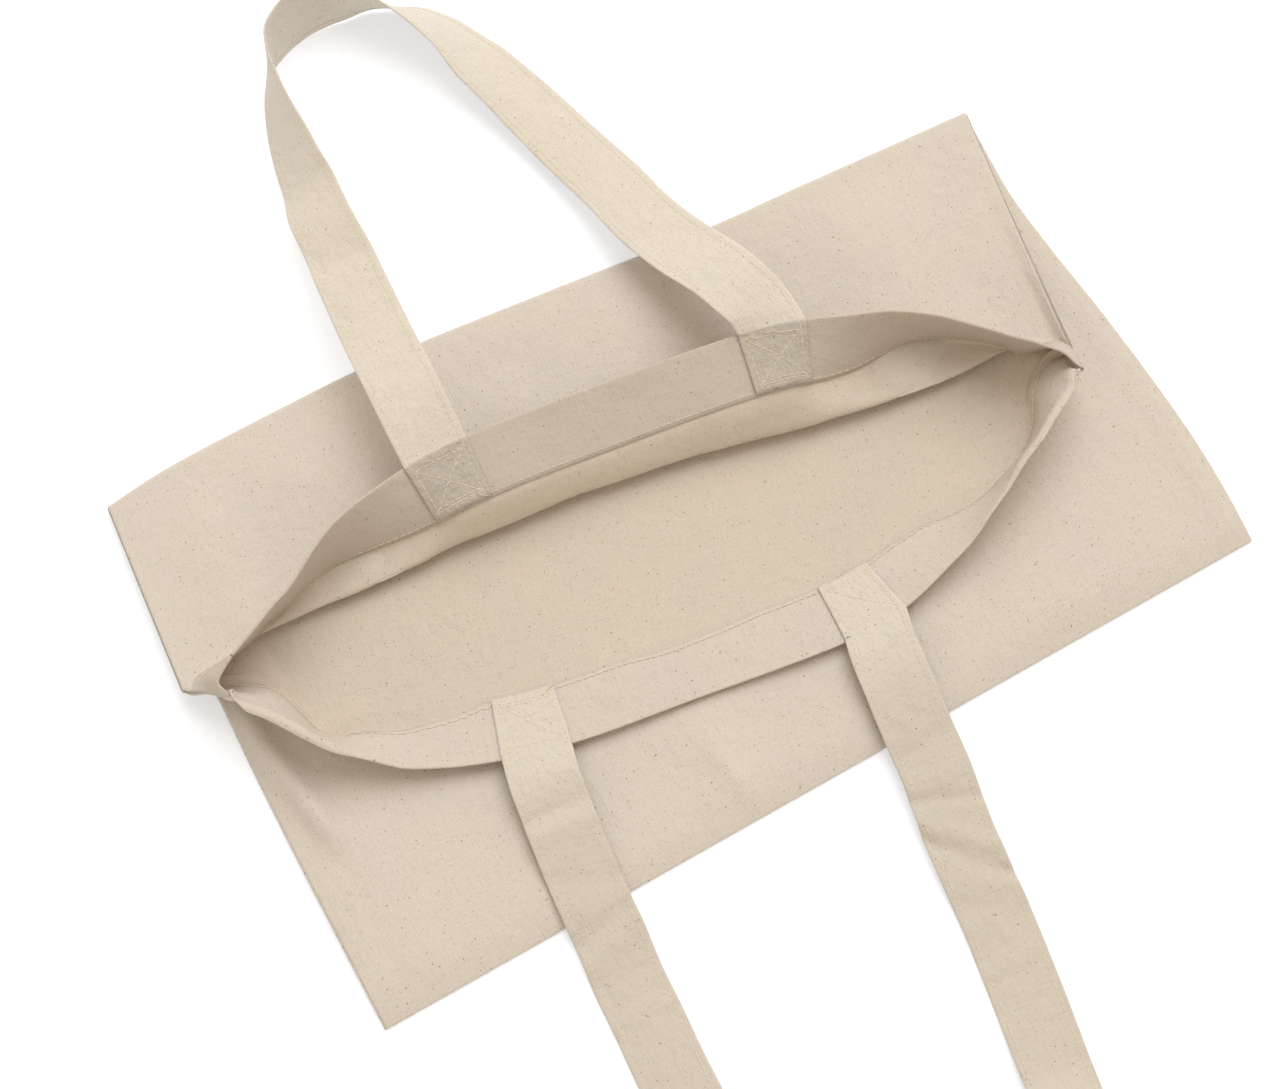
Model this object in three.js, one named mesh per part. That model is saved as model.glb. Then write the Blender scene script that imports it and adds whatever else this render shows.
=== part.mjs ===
// Cotton shopping bag lying on a flat surface, folded over crosswise at mid height,
// its mouth pulled open like a boat, with two strap handles.
// Millimetres. X runs along the bottom edge, Y from the bottom edge to the fold, Z up. The
// tables count x and y from the middle of the bottom edge.
import * as THREE from 'three';

// Sizes
const BAG_WIDTH = 420;
const HEM = 28;
const CLOTH = 1.0;
const HEM_EXTRA = 0.9;
const LAYER_STEP = 1.35;
const STRAP_WIDTH = 30;
const STRAP_THICK = 1.4;
const STRAP_GAP = 0.5;
const STRAP_SPACING = 151;
const PUFF = 10;
const BODY_COLOR = 0xe3d8c6;
const STRAP_COLOR = 0xe6dccc;
const ROUGHNESS = 0.92;

// Heights of the four layers where they lie on each other (middle of each layer).
const BACK_LOW = CLOTH / 2;
const FRONT_LOW = BACK_LOW + LAYER_STEP;
const FRONT_HIGH = FRONT_LOW + LAYER_STEP;
const BACK_HIGH = FRONT_HIGH + LAYER_STEP;

// Mesh rows of each stretch of the profile. The front and the back half have the same
// number, so that the side seams join them row by row.
const COLUMNS = 30;
const HEM_ROWS = 5;
const CREASE_ROWS = 3;
const RISE_ROWS = 7;
const LIE_ROWS = 3;
const TURN_ROWS = 5;
const LOW_ROWS = 7;
const STRAP_STRIPS = 2;

// One row for each station across the width, u in mm from the left side seam.
// fold: outermost y of the back's fold. short: how far the front's fold stops inside it.
const FOLD_STATIONS = [
  { u: 0, fold: 256.5, short: 0 },
  { u: 28, fold: 259.5, short: 5 },
  { u: 75, fold: 260, short: 14 },
  { u: 134.5, fold: 258.5, short: 23 },
  { u: 210, fold: 251, short: 27 },
  { u: 285.5, fold: 242.5, short: 25 },
  { u: 335, fold: 239.5, short: 18 },
  { u: 388, fold: 236, short: 7 },
  { u: 420, fold: 234, short: 0 },
];

// Front layer above its fold: it lies flat as far as foot (share of the way to the
// crest), rises to the crest inside the hem, and the hem flap ends at the rim.
// rise: slope of the cloth at the crest, in degrees up toward the rim.
const FRONT_STATIONS = [
  { u: 0, foot: 0.05, cx: -215, cy: 165, cz: 20, rise: 22, rx: -208, ry: 148, rz: 26 },
  { u: 28, foot: 0.5, cx: -186, cy: 143, cz: 13, rise: 42, rx: -196, ry: 129, rz: 28 },
  { u: 75, foot: 0.58, cx: -150, cy: 112, cz: 17, rise: 20, rx: -162, ry: 94, rz: 19 },
  { u: 134.5, foot: 0.6, cx: -97, cy: 94, cz: 19, rise: 5, rx: -103, ry: 68, rz: 14 },
  { u: 210, foot: 0.6, cx: -24, cy: 82, cz: 18, rise: 3, rx: -29, ry: 55, rz: 12 },
  { u: 285.5, foot: 0.6, cx: 48, cy: 72, cz: 19, rise: 5, rx: 48, ry: 46, rz: 14 },
  { u: 335, foot: 0.58, cx: 88, cy: 74, cz: 19, rise: 22, rx: 99, ry: 53, rz: 21 },
  { u: 388, foot: 0.5, cx: 145, cy: 99, cz: 14, rise: 45, rx: 149, ry: 81, rz: 30 },
  { u: 420, foot: 0.05, cx: 181, cy: 114, cz: 22, rise: 25, rx: 179, ry: 98, rz: 30 },
];

// Back layer above its fold: it runs forward to the crease, turns over there, and goes
// back up to its rim, so that the hem shows its inner face.
// rise: slope of the cloth at the crease, in degrees, 90 where it stands upright.
// curl: how roundly it turns there, in mm.
const BACK_STATIONS = [
  { u: 0, kx: -217, ky: 163, kz: 22, rise: 22, curl: 14, rx: -209, ry: 149, rz: 29 },
  { u: 28, kx: -191, ky: 173, kz: 13, rise: 60, curl: 20, rx: -184, ry: 162, rz: 37 },
  { u: 75, kx: -143, ky: 169, kz: 11.5, rise: 88, curl: 17, rx: -137, ry: 185, rz: 34 },
  { u: 134.5, kx: -82, ky: 161, kz: 11, rise: 90, curl: 15, rx: -79, ry: 199, rz: 31 },
  { u: 210, kx: -14, ky: 148, kz: 11, rise: 90, curl: 15, rx: -8, ry: 191, rz: 30 },
  { u: 285.5, kx: 58, ky: 134, kz: 11, rise: 90, curl: 15, rx: 74, ry: 178, rz: 31 },
  { u: 335, kx: 112, ky: 128, kz: 11.5, rise: 88, curl: 17, rx: 122, ry: 156, rz: 34 },
  { u: 388, kx: 160, ky: 126, kz: 13, rise: 62, curl: 20, rx: 160, ry: 120, rz: 37 },
  { u: 420, kx: 182, ky: 113, kz: 24, rise: 25, curl: 15, rx: 180, ry: 97, rz: 32 },
];

// Side edges of the two lower layers: how far they wander from straight, by y.
const SIDE_STATIONS = [
  { u: 0, left: 0, right: 0 },
  { u: 40, left: 0.5, right: 3 },
  { u: 80, left: 1, right: 3 },
  { u: 120, left: 2, right: 1 },
  { u: 160, left: 3.5, right: -2.5 },
  { u: 190, left: 3, right: -4 },
  { u: 225, left: 1, right: -1.5 },
  { u: 260, left: 0, right: 0 },
];

// Soft ridges of the two layers that show, from (ax, ay) to (bx, by): the front's below
// the mouth and the back's above it.
const RIDGES = [
  { layer: 'front', ax: -40, ay: 4, bx: -24, by: 52, width: 17, height: 2.2 },
  { layer: 'front', ax: -188, ay: 20, bx: -190, by: 92, width: 14, height: 2.6 },
  { layer: 'front', ax: 118, ay: 14, bx: 140, by: 62, width: 22, height: 1.8 },
  { layer: 'back', ax: -122, ay: 178, bx: -104, by: 246, width: 17, height: 2.6 },
  { layer: 'back', ax: 18, ay: 176, bx: 34, by: 236, width: 19, height: 2.2 },
  { layer: 'back', ax: 122, ay: 150, bx: 152, by: 220, width: 20, height: 2.6 },
  { layer: 'back', ax: -186, ay: 190, bx: -178, by: 242, width: 16, height: 2.0 },
];

// Small folds where the hem is crushed at the two ends of the mouth.
const CRUSHED = [
  { x: -208, y: 156, reach: 15, length: 13, turn: -20, height: 2.3 },
  { x: 179, y: 103, reach: 12, length: 12, turn: 25, height: 1.6 },
];

// Path of each handle between its sewn ends, from the left end to the right end.
// lean: how far its width is turned up from level, in degrees, inner edge upward.
const BACK_HANDLE = [
  { x: -78, y: 217, z: 39, lean: 0 },
  { x: -77, y: 235, z: 40, lean: 2 },
  { x: -76, y: 253, z: 38, lean: 5 },
  { x: -72, y: 297, z: 30, lean: 18 },
  { x: -69, y: 331, z: 23, lean: 33 },
  { x: -66, y: 354, z: 19, lean: 47 },
  { x: -63, y: 376, z: 17, lean: 61 },
  { x: -59, y: 394, z: 16, lean: 74 },
  { x: -54, y: 405, z: 16, lean: 86 },
  { x: -48, y: 413, z: 16, lean: 100 },
  { x: -36, y: 419, z: 15, lean: 113 },
  { x: -22, y: 420, z: 15, lean: 113 },
  { x: -11, y: 416, z: 16, lean: 97 },
  { x: -1, y: 410, z: 16, lean: 76 },
  { x: 12, y: 397, z: 14, lean: 55 },
  { x: 22, y: 382, z: 11, lean: 36 },
  { x: 30, y: 361, z: 9, lean: 24 },
  { x: 38, y: 335, z: 8, lean: 16 },
  { x: 45, y: 307, z: 9, lean: 13 },
  { x: 51, y: 280, z: 13, lean: 12 },
  { x: 55, y: 252, z: 20, lean: 11 },
  { x: 60, y: 229, z: 29, lean: 9 },
  { x: 66, y: 211, z: 35, lean: 6 },
  { x: 70, y: 197, z: 37, lean: 3 },
  { x: 73, y: 187, z: 36, lean: 1 },
];
const FRONT_HANDLE = [
  { x: -105, y: 57, z: 16, lean: 0 },
  { x: -107, y: 44, z: 14, lean: 0 },
  { x: -110, y: 21, z: 10.5, lean: 0 },
  { x: -112, y: 0, z: 7.5, lean: 0 },
  { x: -113, y: -14, z: 3.5, lean: 0 },
  { x: -115, y: -31, z: 1, lean: 0 },
  { x: -116, y: -49, z: 0.8, lean: 0 },
  { x: -118, y: -75, z: 0.8, lean: 0 },
  { x: -118, y: -97, z: 4, lean: 15 },
  { x: -114, y: -118, z: 11, lean: 44 },
  { x: -103, y: -142, z: 15.5, lean: 78 },
  { x: -84, y: -164, z: 16, lean: 94 },
  { x: -58, y: -181, z: 16, lean: 97 },
  { x: -30, y: -189, z: 16, lean: 92 },
  { x: -6, y: -186, z: 15, lean: 72 },
  { x: 8, y: -177, z: 10, lean: 42 },
  { x: 15, y: -164, z: 4, lean: 14 },
  { x: 17, y: -150, z: 0.8, lean: 0 },
  { x: 23, y: -119, z: 0.8, lean: 0 },
  { x: 26, y: -102, z: 1, lean: 0 },
  { x: 29, y: -84, z: 1.8, lean: 0 },
  { x: 33, y: -49, z: 6, lean: 0 },
  { x: 39, y: -16, z: 12, lean: 0 },
  { x: 41, y: 1, z: 15, lean: 0 },
  { x: 43, y: 16, z: 16, lean: 0 },
  { x: 46, y: 36, z: 16.5, lean: 0 },
];

function vec(x, y, z) {
  return new THREE.Vector3(x, y, z);
}

// Smooth value of one named column at u, a cubic through the station rows.
function column(rows, name, u) {
  let i = 0;
  while (i < rows.length - 2 && u > rows[i + 1].u) i += 1;
  const slope = (k) => {
    const a = rows[Math.max(k - 1, 0)];
    const b = rows[Math.min(k + 1, rows.length - 1)];
    return (b[name] - a[name]) / (b.u - a.u);
  };
  const span = rows[i + 1].u - rows[i].u;
  const t = Math.min(Math.max((u - rows[i].u) / span, 0), 1);
  const h01 = t * t * (3 - 2 * t);
  const h10 = t * (1 - t) * (1 - t);
  const h11 = t * t * (t - 1);
  return rows[i][name] * (1 - h01) + rows[i + 1][name] * h01
    + span * (h10 * slope(i) + h11 * slope(i + 1));
}

function smooth(a, b, value) {
  const t = Math.min(Math.max((value - a) / (b - a), 0), 1);
  return t * t * (3 - 2 * t);
}

// Cubic from a to b with the given end tangents.
function hermite(a, b, ta, tb, t) {
  const h01 = t * t * (3 - 2 * t);
  const h10 = t * (1 - t) * (1 - t);
  const h11 = t * t * (t - 1);
  return a.clone().multiplyScalar(1 - h01).addScaledVector(b, h01)
    .addScaledVector(ta, h10).addScaledVector(tb, h11);
}

// Curve that leaves a along tangent ta and reaches b with no bend of its own there.
function swing(a, b, ta, t) {
  const rest = b.clone().sub(a).sub(ta);
  return a.clone().addScaledVector(ta, t).addScaledVector(rest, t * t);
}

// Points of a curve at the given distances, measured back from its end.
function spaced(curve, distances) {
  const fine = [];
  for (let i = 0; i <= 60; i += 1) fine.push(curve(1 - i / 60));
  const lengths = [0];
  for (let i = 1; i <= 60; i += 1) {
    lengths.push(lengths[i - 1] + fine[i].distanceTo(fine[i - 1]));
  }
  return distances(lengths[60]).map((d) => {
    let i = 0;
    while (i < 59 && lengths[i + 1] < d) i += 1;
    const t = (d - lengths[i]) / (lengths[i + 1] - lengths[i]);
    return fine[i].clone().lerp(fine[i + 1], Math.min(Math.max(t, 0), 1));
  });
}

// Distances from the rim of the rows that make up the hem and its turned edge.
function hemDistances(length, tail) {
  const hem = Math.min(HEM, length * (tail > 0 ? 0.7 : 0.97));
  const rows = [];
  for (let i = 0; i < HEM_ROWS; i += 1) rows.push(((hem - 0.5) * i) / (HEM_ROWS - 1));
  rows.push(hem + 0.5 * (tail > 0 ? 1 : 0));
  for (let i = 1; i <= tail; i += 1) {
    rows.push(hem + 0.5 + (length - hem - 0.5) * (i / tail) ** 0.8);
  }
  return rows;
}

// Point of a round turn about the line (yc, zc), angle in degrees from +Y toward +Z.
function turned(x, yc, zc, radius, angle) {
  const a = THREE.MathUtils.degToRad(angle);
  return vec(x, yc + radius * Math.cos(a), zc + radius * Math.sin(a));
}

// Unit direction from a to b, laid level, then tilted up by rise degrees.
function tilted(a, b, rise) {
  const e = THREE.MathUtils.degToRad(rise);
  return b.clone().sub(a).setZ(0).normalize().multiplyScalar(Math.cos(e)).setZ(Math.sin(e));
}

// Where a point of the two lower layers lies, with the wandering of the side edges.
function lowerX(u, y) {
  const share = u / BAG_WIDTH;
  const left = column(SIDE_STATIONS, 'left', y) * (1 - share) ** 2;
  const right = column(SIDE_STATIONS, 'right', y) * share ** 2;
  return u - BAG_WIDTH / 2 + left + right;
}

// Back layer from its fold to the crease (rows 1 to count) and on to the rim.
function backUpper(u) {
  const b = (name) => column(BACK_STATIONS, name, u);
  const centre = column(FOLD_STATIONS, 'fold', u) - CLOTH / 2 - (BACK_HIGH - BACK_LOW) / 2;
  const outer = vec(lowerX(u, centre), centre, BACK_HIGH);
  const crease = vec(b('kx'), b('ky'), b('kz'));
  const rim = vec(b('rx'), b('ry'), b('rz'));
  const along = crease.clone().sub(outer).setZ(PUFF);
  const curl = tilted(outer, crease, b('rise')).multiplyScalar(b('curl'));
  const points = [];
  const count = RISE_ROWS + LIE_ROWS;
  for (let i = 1; i <= count; i += 1) {
    const t = 1 - (1 - i / count) ** 1.3;
    points.push(hermite(outer, crease, along, curl.clone().multiplyScalar(2), t));
  }
  const cuff = spaced((t) => swing(crease, rim, curl, t), (length) => hemDistances(length, CREASE_ROWS));
  for (let i = cuff.length - 2; i >= 0; i -= 1) points.push(cuff[i]);
  return points;
}

// Front layer from its rim over the crest and down to its fold.
function frontUpper(u, centre) {
  const f = (name) => column(FRONT_STATIONS, name, u);
  const rim = vec(f('rx'), f('ry'), f('rz'));
  const crest = vec(f('cx'), f('cy'), f('cz'));
  const inner = vec(lowerX(u, centre), centre, FRONT_HIGH);
  const foot = inner.clone().lerp(crest, f('foot')).setZ(FRONT_HIGH);
  const over = tilted(crest, rim, f('rise'));
  const flap = rim.distanceTo(crest);
  const along = crest.clone().sub(foot).setZ(0);
  const points = spaced(
    (t) => swing(crest, rim, over.clone().multiplyScalar(flap), t),
    (length) => hemDistances(length, 0),
  );
  points[HEM_ROWS] = crest.clone();
  const count = CREASE_ROWS + RISE_ROWS;
  for (let i = 1; i <= count; i += 1) {
    const reach = over.clone().multiplyScalar(along.length() * 0.9);
    points.push(hermite(foot, crest, along, reach, 1 - i / count));
  }
  for (let i = 1; i <= LIE_ROWS; i += 1) {
    points.push(foot.clone().lerp(inner, i / LIE_ROWS));
  }
  return points;
}

// At the side seams the front layer follows just inside the back layer: beside is the
// back layer's profile a little farther right.
function nested(back, beside, i) {
  const along = back[Math.min(i + 1, back.length - 1)].clone().sub(back[Math.max(i - 1, 0)]);
  const inward = beside[i].clone().sub(back[i]).cross(along).normalize();
  const hemShare = smooth(back.length - HEM_ROWS - 4, back.length - HEM_ROWS - 1, i);
  return back[i].clone().addScaledVector(inward, LAYER_STEP + 2.2 * HEM_EXTRA * hemShare);
}

function ridgeLift(layer, x, y) {
  let lift = 0;
  for (const r of RIDGES.filter((row) => row.layer === layer)) {
    const dx = r.bx - r.ax;
    const dy = r.by - r.ay;
    const length = Math.hypot(dx, dy);
    const along = ((x - r.ax) * dx + (y - r.ay) * dy) / (length * length);
    const aside = ((x - r.ax) * dy - (y - r.ay) * dx) / length;
    const beyond = Math.max(0, -along, along - 1) * length;
    lift += r.height * Math.exp(-((aside / r.width) ** 2) - (beyond / (r.width * 1.4)) ** 2);
  }
  return lift;
}

// The crushed folds at the ends of the mouth move all layers alike.
function crush(point) {
  for (const c of CRUSHED) {
    const near = Math.exp(-(((point.x - c.x) ** 2 + (point.y - c.y) ** 2) / (c.reach * c.reach)));
    const a = THREE.MathUtils.degToRad(c.turn);
    const across = (point.x - c.x) * Math.sin(a) + (point.y - c.y) * Math.cos(a);
    point.z += smooth(6, 14, point.z) * c.height * near * Math.sin((2 * Math.PI * across) / c.length);
  }
  return point;
}

// One profile of the cloth: front rim, crest, front fold, bottom edge, back fold,
// crease and back rim. hem is 1 where the cloth is doubled.
function profile(u) {
  const fold = column(FOLD_STATIONS, 'fold', u);
  const short = column(FOLD_STATIONS, 'short', u);
  const foldRadius = (BACK_HIGH - BACK_LOW) / 2;
  const innerRadius = (FRONT_HIGH - FRONT_LOW) / 2;
  const foldCentre = fold - CLOTH / 2 - foldRadius;
  const innerCentre = foldCentre - short;
  const stack = (FRONT_HIGH + FRONT_LOW) / 2;
  const bottomCentre = innerRadius + CLOTH / 2;
  const back = backUpper(u);
  const beside = backUpper(Math.min(u + 4, BAG_WIDTH));
  const before = backUpper(Math.min(u, BAG_WIDTH - 4));
  beside.forEach((p, i) => p.add(back[i]).sub(before[i]));
  const own = frontUpper(u, innerCentre);
  const seam = Math.max(1 - u / 26, 1 - (BAG_WIDTH - u) / 26, 0);
  const share = seam * seam * (3 - 2 * seam);

  const points = own.map((p, j) => {
    const mirror = back.length - 1 - j;
    if (share === 0 || mirror < 0) return p;
    return p.lerp(nested(back, beside, mirror), share);
  });
  for (let i = 1; i <= TURN_ROWS; i += 1) {
    const x = lowerX(u, innerCentre);
    points.push(turned(x, innerCentre, stack, innerRadius, 90 - (180 * i) / TURN_ROWS));
  }
  for (let i = 1; i <= LOW_ROWS; i += 1) {
    const y = innerCentre + ((bottomCentre - innerCentre) * i) / LOW_ROWS;
    const x = lowerX(u, y);
    points.push(vec(x, y, FRONT_LOW + ridgeLift('front', x, y) * smooth(120, 95, y) * smooth(1, 14, y)));
  }
  for (let i = 1; i <= TURN_ROWS; i += 1) {
    const middle = (FRONT_LOW + BACK_LOW) / 2;
    const angle = 90 + (180 * i) / TURN_ROWS;
    points.push(turned(lowerX(u, 0), bottomCentre, middle, innerRadius, angle));
  }
  for (let i = 1; i <= LOW_ROWS; i += 1) {
    const y = bottomCentre + ((foldCentre - bottomCentre) * i) / LOW_ROWS;
    points.push(vec(lowerX(u, y), y, BACK_LOW));
  }
  for (let i = 1; i <= TURN_ROWS; i += 1) {
    const x = lowerX(u, foldCentre);
    points.push(turned(x, foldCentre, stack, foldRadius, (180 * i) / TURN_ROWS - 90));
  }
  const crease = back.length - HEM_ROWS - CREASE_ROWS - 1;
  back.forEach((p, i) => {
    const free = smooth(0, 2, i) * smooth(crease, crease - 3, i);
    p.z += ridgeLift('back', p.x, p.y) * free * (1 - share);
    points.push(p);
  });
  const last = points.length - 1;
  return points.map((point, j) => {
    const hem = Math.min(j, last - j) < HEM_ROWS ? 1 - 0.6 * share : 0;
    return { point: crush(point), hem };
  });
}

// The cloth as one closed body: its inner and outer face, joined along both rims and
// through both side seams. The hem is turned in, so it thickens the inner face only.
function clothGeometry(grid) {
  const columns = grid.length;
  const rows = grid[0].length;
  const positions = [];
  const index = [];
  const clamp = (k, n) => Math.min(Math.max(k, 0), n - 1);
  const at = (i, j) => grid[clamp(i, columns)][clamp(j, rows)].point;
  for (let i = 0; i < columns; i += 1) {
    for (let j = 0; j < rows; j += 1) {
      const across = at(i + 1, j).clone().sub(at(i - 1, j)).normalize();
      const along = at(i, j + 1).clone().sub(at(i, j - 1));
      const inward = across.clone().cross(along).normalize();
      const thick = CLOTH / 2 + HEM_EXTRA * grid[i][j].hem;
      const inset = i === 0 ? CLOTH : i === columns - 1 ? -CLOTH : 0;
      const inner = at(i, j).clone().addScaledVector(inward, thick).addScaledVector(across, inset);
      const outer = at(i, j).clone().addScaledVector(inward, -CLOTH / 2);
      positions.push(inner.x, inner.y, inner.z, outer.x, outer.y, outer.z);
    }
  }
  const inside = (i, j) => 2 * (i * rows + j);
  const outside = (i, j) => 2 * (i * rows + j) + 1;
  const quad = (a, b, c, d) => index.push(a, b, c, a, c, d);
  for (let i = 0; i < columns - 1; i += 1) {
    for (let j = 0; j < rows - 1; j += 1) {
      quad(inside(i, j), inside(i + 1, j), inside(i + 1, j + 1), inside(i, j + 1));
      quad(outside(i, j), outside(i, j + 1), outside(i + 1, j + 1), outside(i + 1, j));
    }
    quad(inside(i, 0), outside(i, 0), outside(i + 1, 0), inside(i + 1, 0));
    const r = rows - 1;
    quad(inside(i, r), inside(i + 1, r), outside(i + 1, r), outside(i, r));
  }
  const half = rows / 2;
  const c = columns - 1;
  for (let j = 0; j < half - 1; j += 1) {
    const m = rows - 1 - j;
    quad(outside(0, j), outside(0, m), outside(0, m - 1), outside(0, j + 1));
    quad(inside(0, j), inside(0, j + 1), inside(0, m - 1), inside(0, m));
    quad(outside(c, j), outside(c, j + 1), outside(c, m - 1), outside(c, m));
    quad(inside(c, j), inside(c, m), inside(c, m - 1), inside(c, j + 1));
  }
  const r = rows - 1;
  quad(inside(0, r), outside(0, r), outside(0, 0), inside(0, 0));
  quad(inside(c, 0), outside(c, 0), outside(c, r), inside(c, r));
  const geometry = new THREE.BufferGeometry();
  geometry.setAttribute('position', new THREE.Float32BufferAttribute(positions, 3));
  geometry.setIndex(index);
  geometry.computeVertexNormals();
  return geometry;
}

function bodyGrid() {
  const grid = [];
  for (let i = 0; i < COLUMNS; i += 1) {
    const t = i / (COLUMNS - 1);
    const eased = t - 0.045 * Math.sin(4 * Math.PI * t) - 0.03 * Math.sin(2 * Math.PI * t);
    grid.push(profile(BAG_WIDTH * (i === COLUMNS - 1 ? 1 : eased)));
  }
  return grid;
}

// Stations of a handle's sewn end, lying on the inner face of the hem: each has its
// middle and the direction of its width. Listed from the end of the strap to the rim.
function sewnEnd(u, front) {
  const left = profile(u - STRAP_WIDTH / 2);
  const right = profile(u + STRAP_WIDTH / 2);
  const last = left.length - 1;
  const lift = CLOTH / 2 + HEM_EXTRA + STRAP_GAP + STRAP_THICK / 2;
  const stations = [];
  for (let k = HEM_ROWS - 1; k >= 0; k -= 1) {
    const row = (n) => (front ? Math.min(n, last) : last - n);
    const j = row(k);
    const across = right[j].point.clone().sub(left[j].point).normalize();
    const toRim = left[row(Math.max(k - 1, 0))].point.clone().sub(left[row(k + 1)].point);
    const inward = toRim.cross(across).normalize();
    if (inward.z < 0) inward.negate();
    const middle = left[j].point.clone().lerp(right[j].point, 0.5).addScaledVector(inward, lift);
    stations.push({ middle, across });
  }
  return stations;
}

// A handle: sewn end, free path, sewn end.
function handleStations(path, front) {
  const u0 = BAG_WIDTH / 2 - STRAP_SPACING / 2;
  const first = sewnEnd(u0, front);
  const last = sewnEnd(u0 + STRAP_SPACING, front).reverse();
  const centre = vec(0, 0, 0);
  path.forEach((row) => centre.add(vec(row.x, row.y, 0)));
  centre.multiplyScalar(1 / path.length);
  const free = path.map((row, k) => {
    const before = path[Math.max(k - 1, 0)];
    const after = path[Math.min(k + 1, path.length - 1)];
    const side = vec(-(after.y - before.y), after.x - before.x, 0).normalize();
    const middle = vec(row.x, row.y, row.z);
    if (side.dot(centre.clone().sub(middle).setZ(0)) < 0) side.negate();
    const e = THREE.MathUtils.degToRad(row.lean);
    return { middle, across: side.multiplyScalar(Math.cos(e)).setZ(Math.sin(e)) };
  });
  const keys = [...first, ...free, ...last];
  for (let k = 1; k < keys.length; k += 1) {
    if (keys[k].across.dot(keys[k - 1].across) < 0) keys[k].across.negate();
  }
  for (let pass = 0; pass < 2; pass += 1) {
    const was = keys.map((k) => k.across.clone());
    for (let k = first.length; k < keys.length - last.length; k += 1) {
      keys[k].across.multiplyScalar(2).add(was[k - 1]).add(was[k + 1]).normalize();
    }
  }
  return keys;
}

// A flat strap along its stations, with the same diagonals on both faces.
function handleGeometry(keys) {
  const middles = new THREE.CatmullRomCurve3(keys.map((k) => k.middle), false, 'centripetal');
  const sections = [];
  const steps = keys.length - 1;
  for (let k = 0; k <= steps; k += 1) {
    const next = keys[Math.min(k + 1, steps)];
    const gap = keys[k].middle.distanceTo(next.middle);
    const pieces = k === steps ? 1 : Math.max(1, Math.round(gap / 8));
    for (let i = 0; i < pieces; i += 1) {
      const t = Math.min((k + i / pieces) / steps, 1);
      const along = middles.getTangent(t);
      const across = keys[k].across.clone().lerp(next.across, i / pieces);
      across.addScaledVector(along, -across.dot(along)).normalize();
      const normal = across.clone().cross(along);
      const middle = middles.getPoint(t);
      const low = (STRAP_WIDTH * Math.abs(across.z) + STRAP_THICK * Math.abs(normal.z)) / 2;
      middle.z = Math.max(middle.z, low);
      sections.push({ middle, across, normal });
    }
  }
  const strips = STRAP_STRIPS;
  const ring = 2 * (strips + 1);
  const positions = [];
  const index = [];
  sections.forEach((s) => {
    for (let q = 0; q < ring; q += 1) {
      const top = q > strips;
      const share = (top ? ring - 1 - q : q) / strips - 0.5;
      const p = s.middle.clone().addScaledVector(s.across, share * STRAP_WIDTH)
        .addScaledVector(s.normal, (top ? 0.5 : -0.5) * STRAP_THICK);
      positions.push(p.x, p.y, p.z);
    }
  });
  for (let k = 0; k < sections.length - 1; k += 1) {
    for (let q = 0; q < ring; q += 1) {
      const a = ring * k + q;
      const b = ring * k + ((q + 1) % ring);
      if (q > strips) index.push(a, a + ring, b, b, a + ring, b + ring);
      else index.push(a, a + ring, b + ring, a, b + ring, b);
    }
  }
  const e = ring * (sections.length - 1);
  for (let q = 0; q < strips; q += 1) {
    const r = ring - 1 - q;
    index.push(q, q + 1, r - 1, q, r - 1, r);
    index.push(e + q, e + r - 1, e + q + 1, e + q, e + r, e + r - 1);
  }
  const geometry = new THREE.BufferGeometry();
  geometry.setAttribute('position', new THREE.Float32BufferAttribute(positions, 3));
  geometry.setIndex(index);
  geometry.computeVertexNormals();
  return geometry;
}

function cottonMaterial(color) {
  return new THREE.MeshStandardMaterial({ color, roughness: ROUGHNESS, metalness: 0 });
}

const group = new THREE.Group();
group.name = 'cotton_bag';

const body = new THREE.Mesh(clothGeometry(bodyGrid()), cottonMaterial(BODY_COLOR));
body.name = 'bag_body';
group.add(body);

const backHandle = new THREE.Mesh(
  handleGeometry(handleStations(BACK_HANDLE, false)),
  cottonMaterial(STRAP_COLOR),
);
backHandle.name = 'back_handle';
group.add(backHandle);

const frontHandle = new THREE.Mesh(
  handleGeometry(handleStations(FRONT_HANDLE, true)),
  cottonMaterial(STRAP_COLOR),
);
frontHandle.name = 'front_handle';
group.add(frontHandle);

// The origin is on the floor, at the middle of the whole outline.
const outline = new THREE.Box3().setFromObject(group);
const middle = outline.getCenter(vec(0, 0, 0));
group.position.set(-middle.x, -middle.y, -outline.min.z);

export default group;
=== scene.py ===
"""Looks of a cotton shopping bag that lies folded over, its mouth pulled open.

The bag is one length of unbleached calico with a hem round its mouth, and two strap
handles sewn inside the hems with boxed crosses. The cloth follows the same folds as the
solids of the frame. Tables and lengths are in millimetres, counted from the middle of the
bag's bottom edge; the finished meshes are in metres in the frame's own place.
"""

import logging
import math
from bisect import bisect_right
from dataclasses import dataclass, field, fields
from enum import Enum
from functools import partial
from itertools import accumulate
from typing import Callable, Sequence, TypeVar, Union

import bmesh
import bpy
from mathutils import Matrix, Vector, noise

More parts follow.
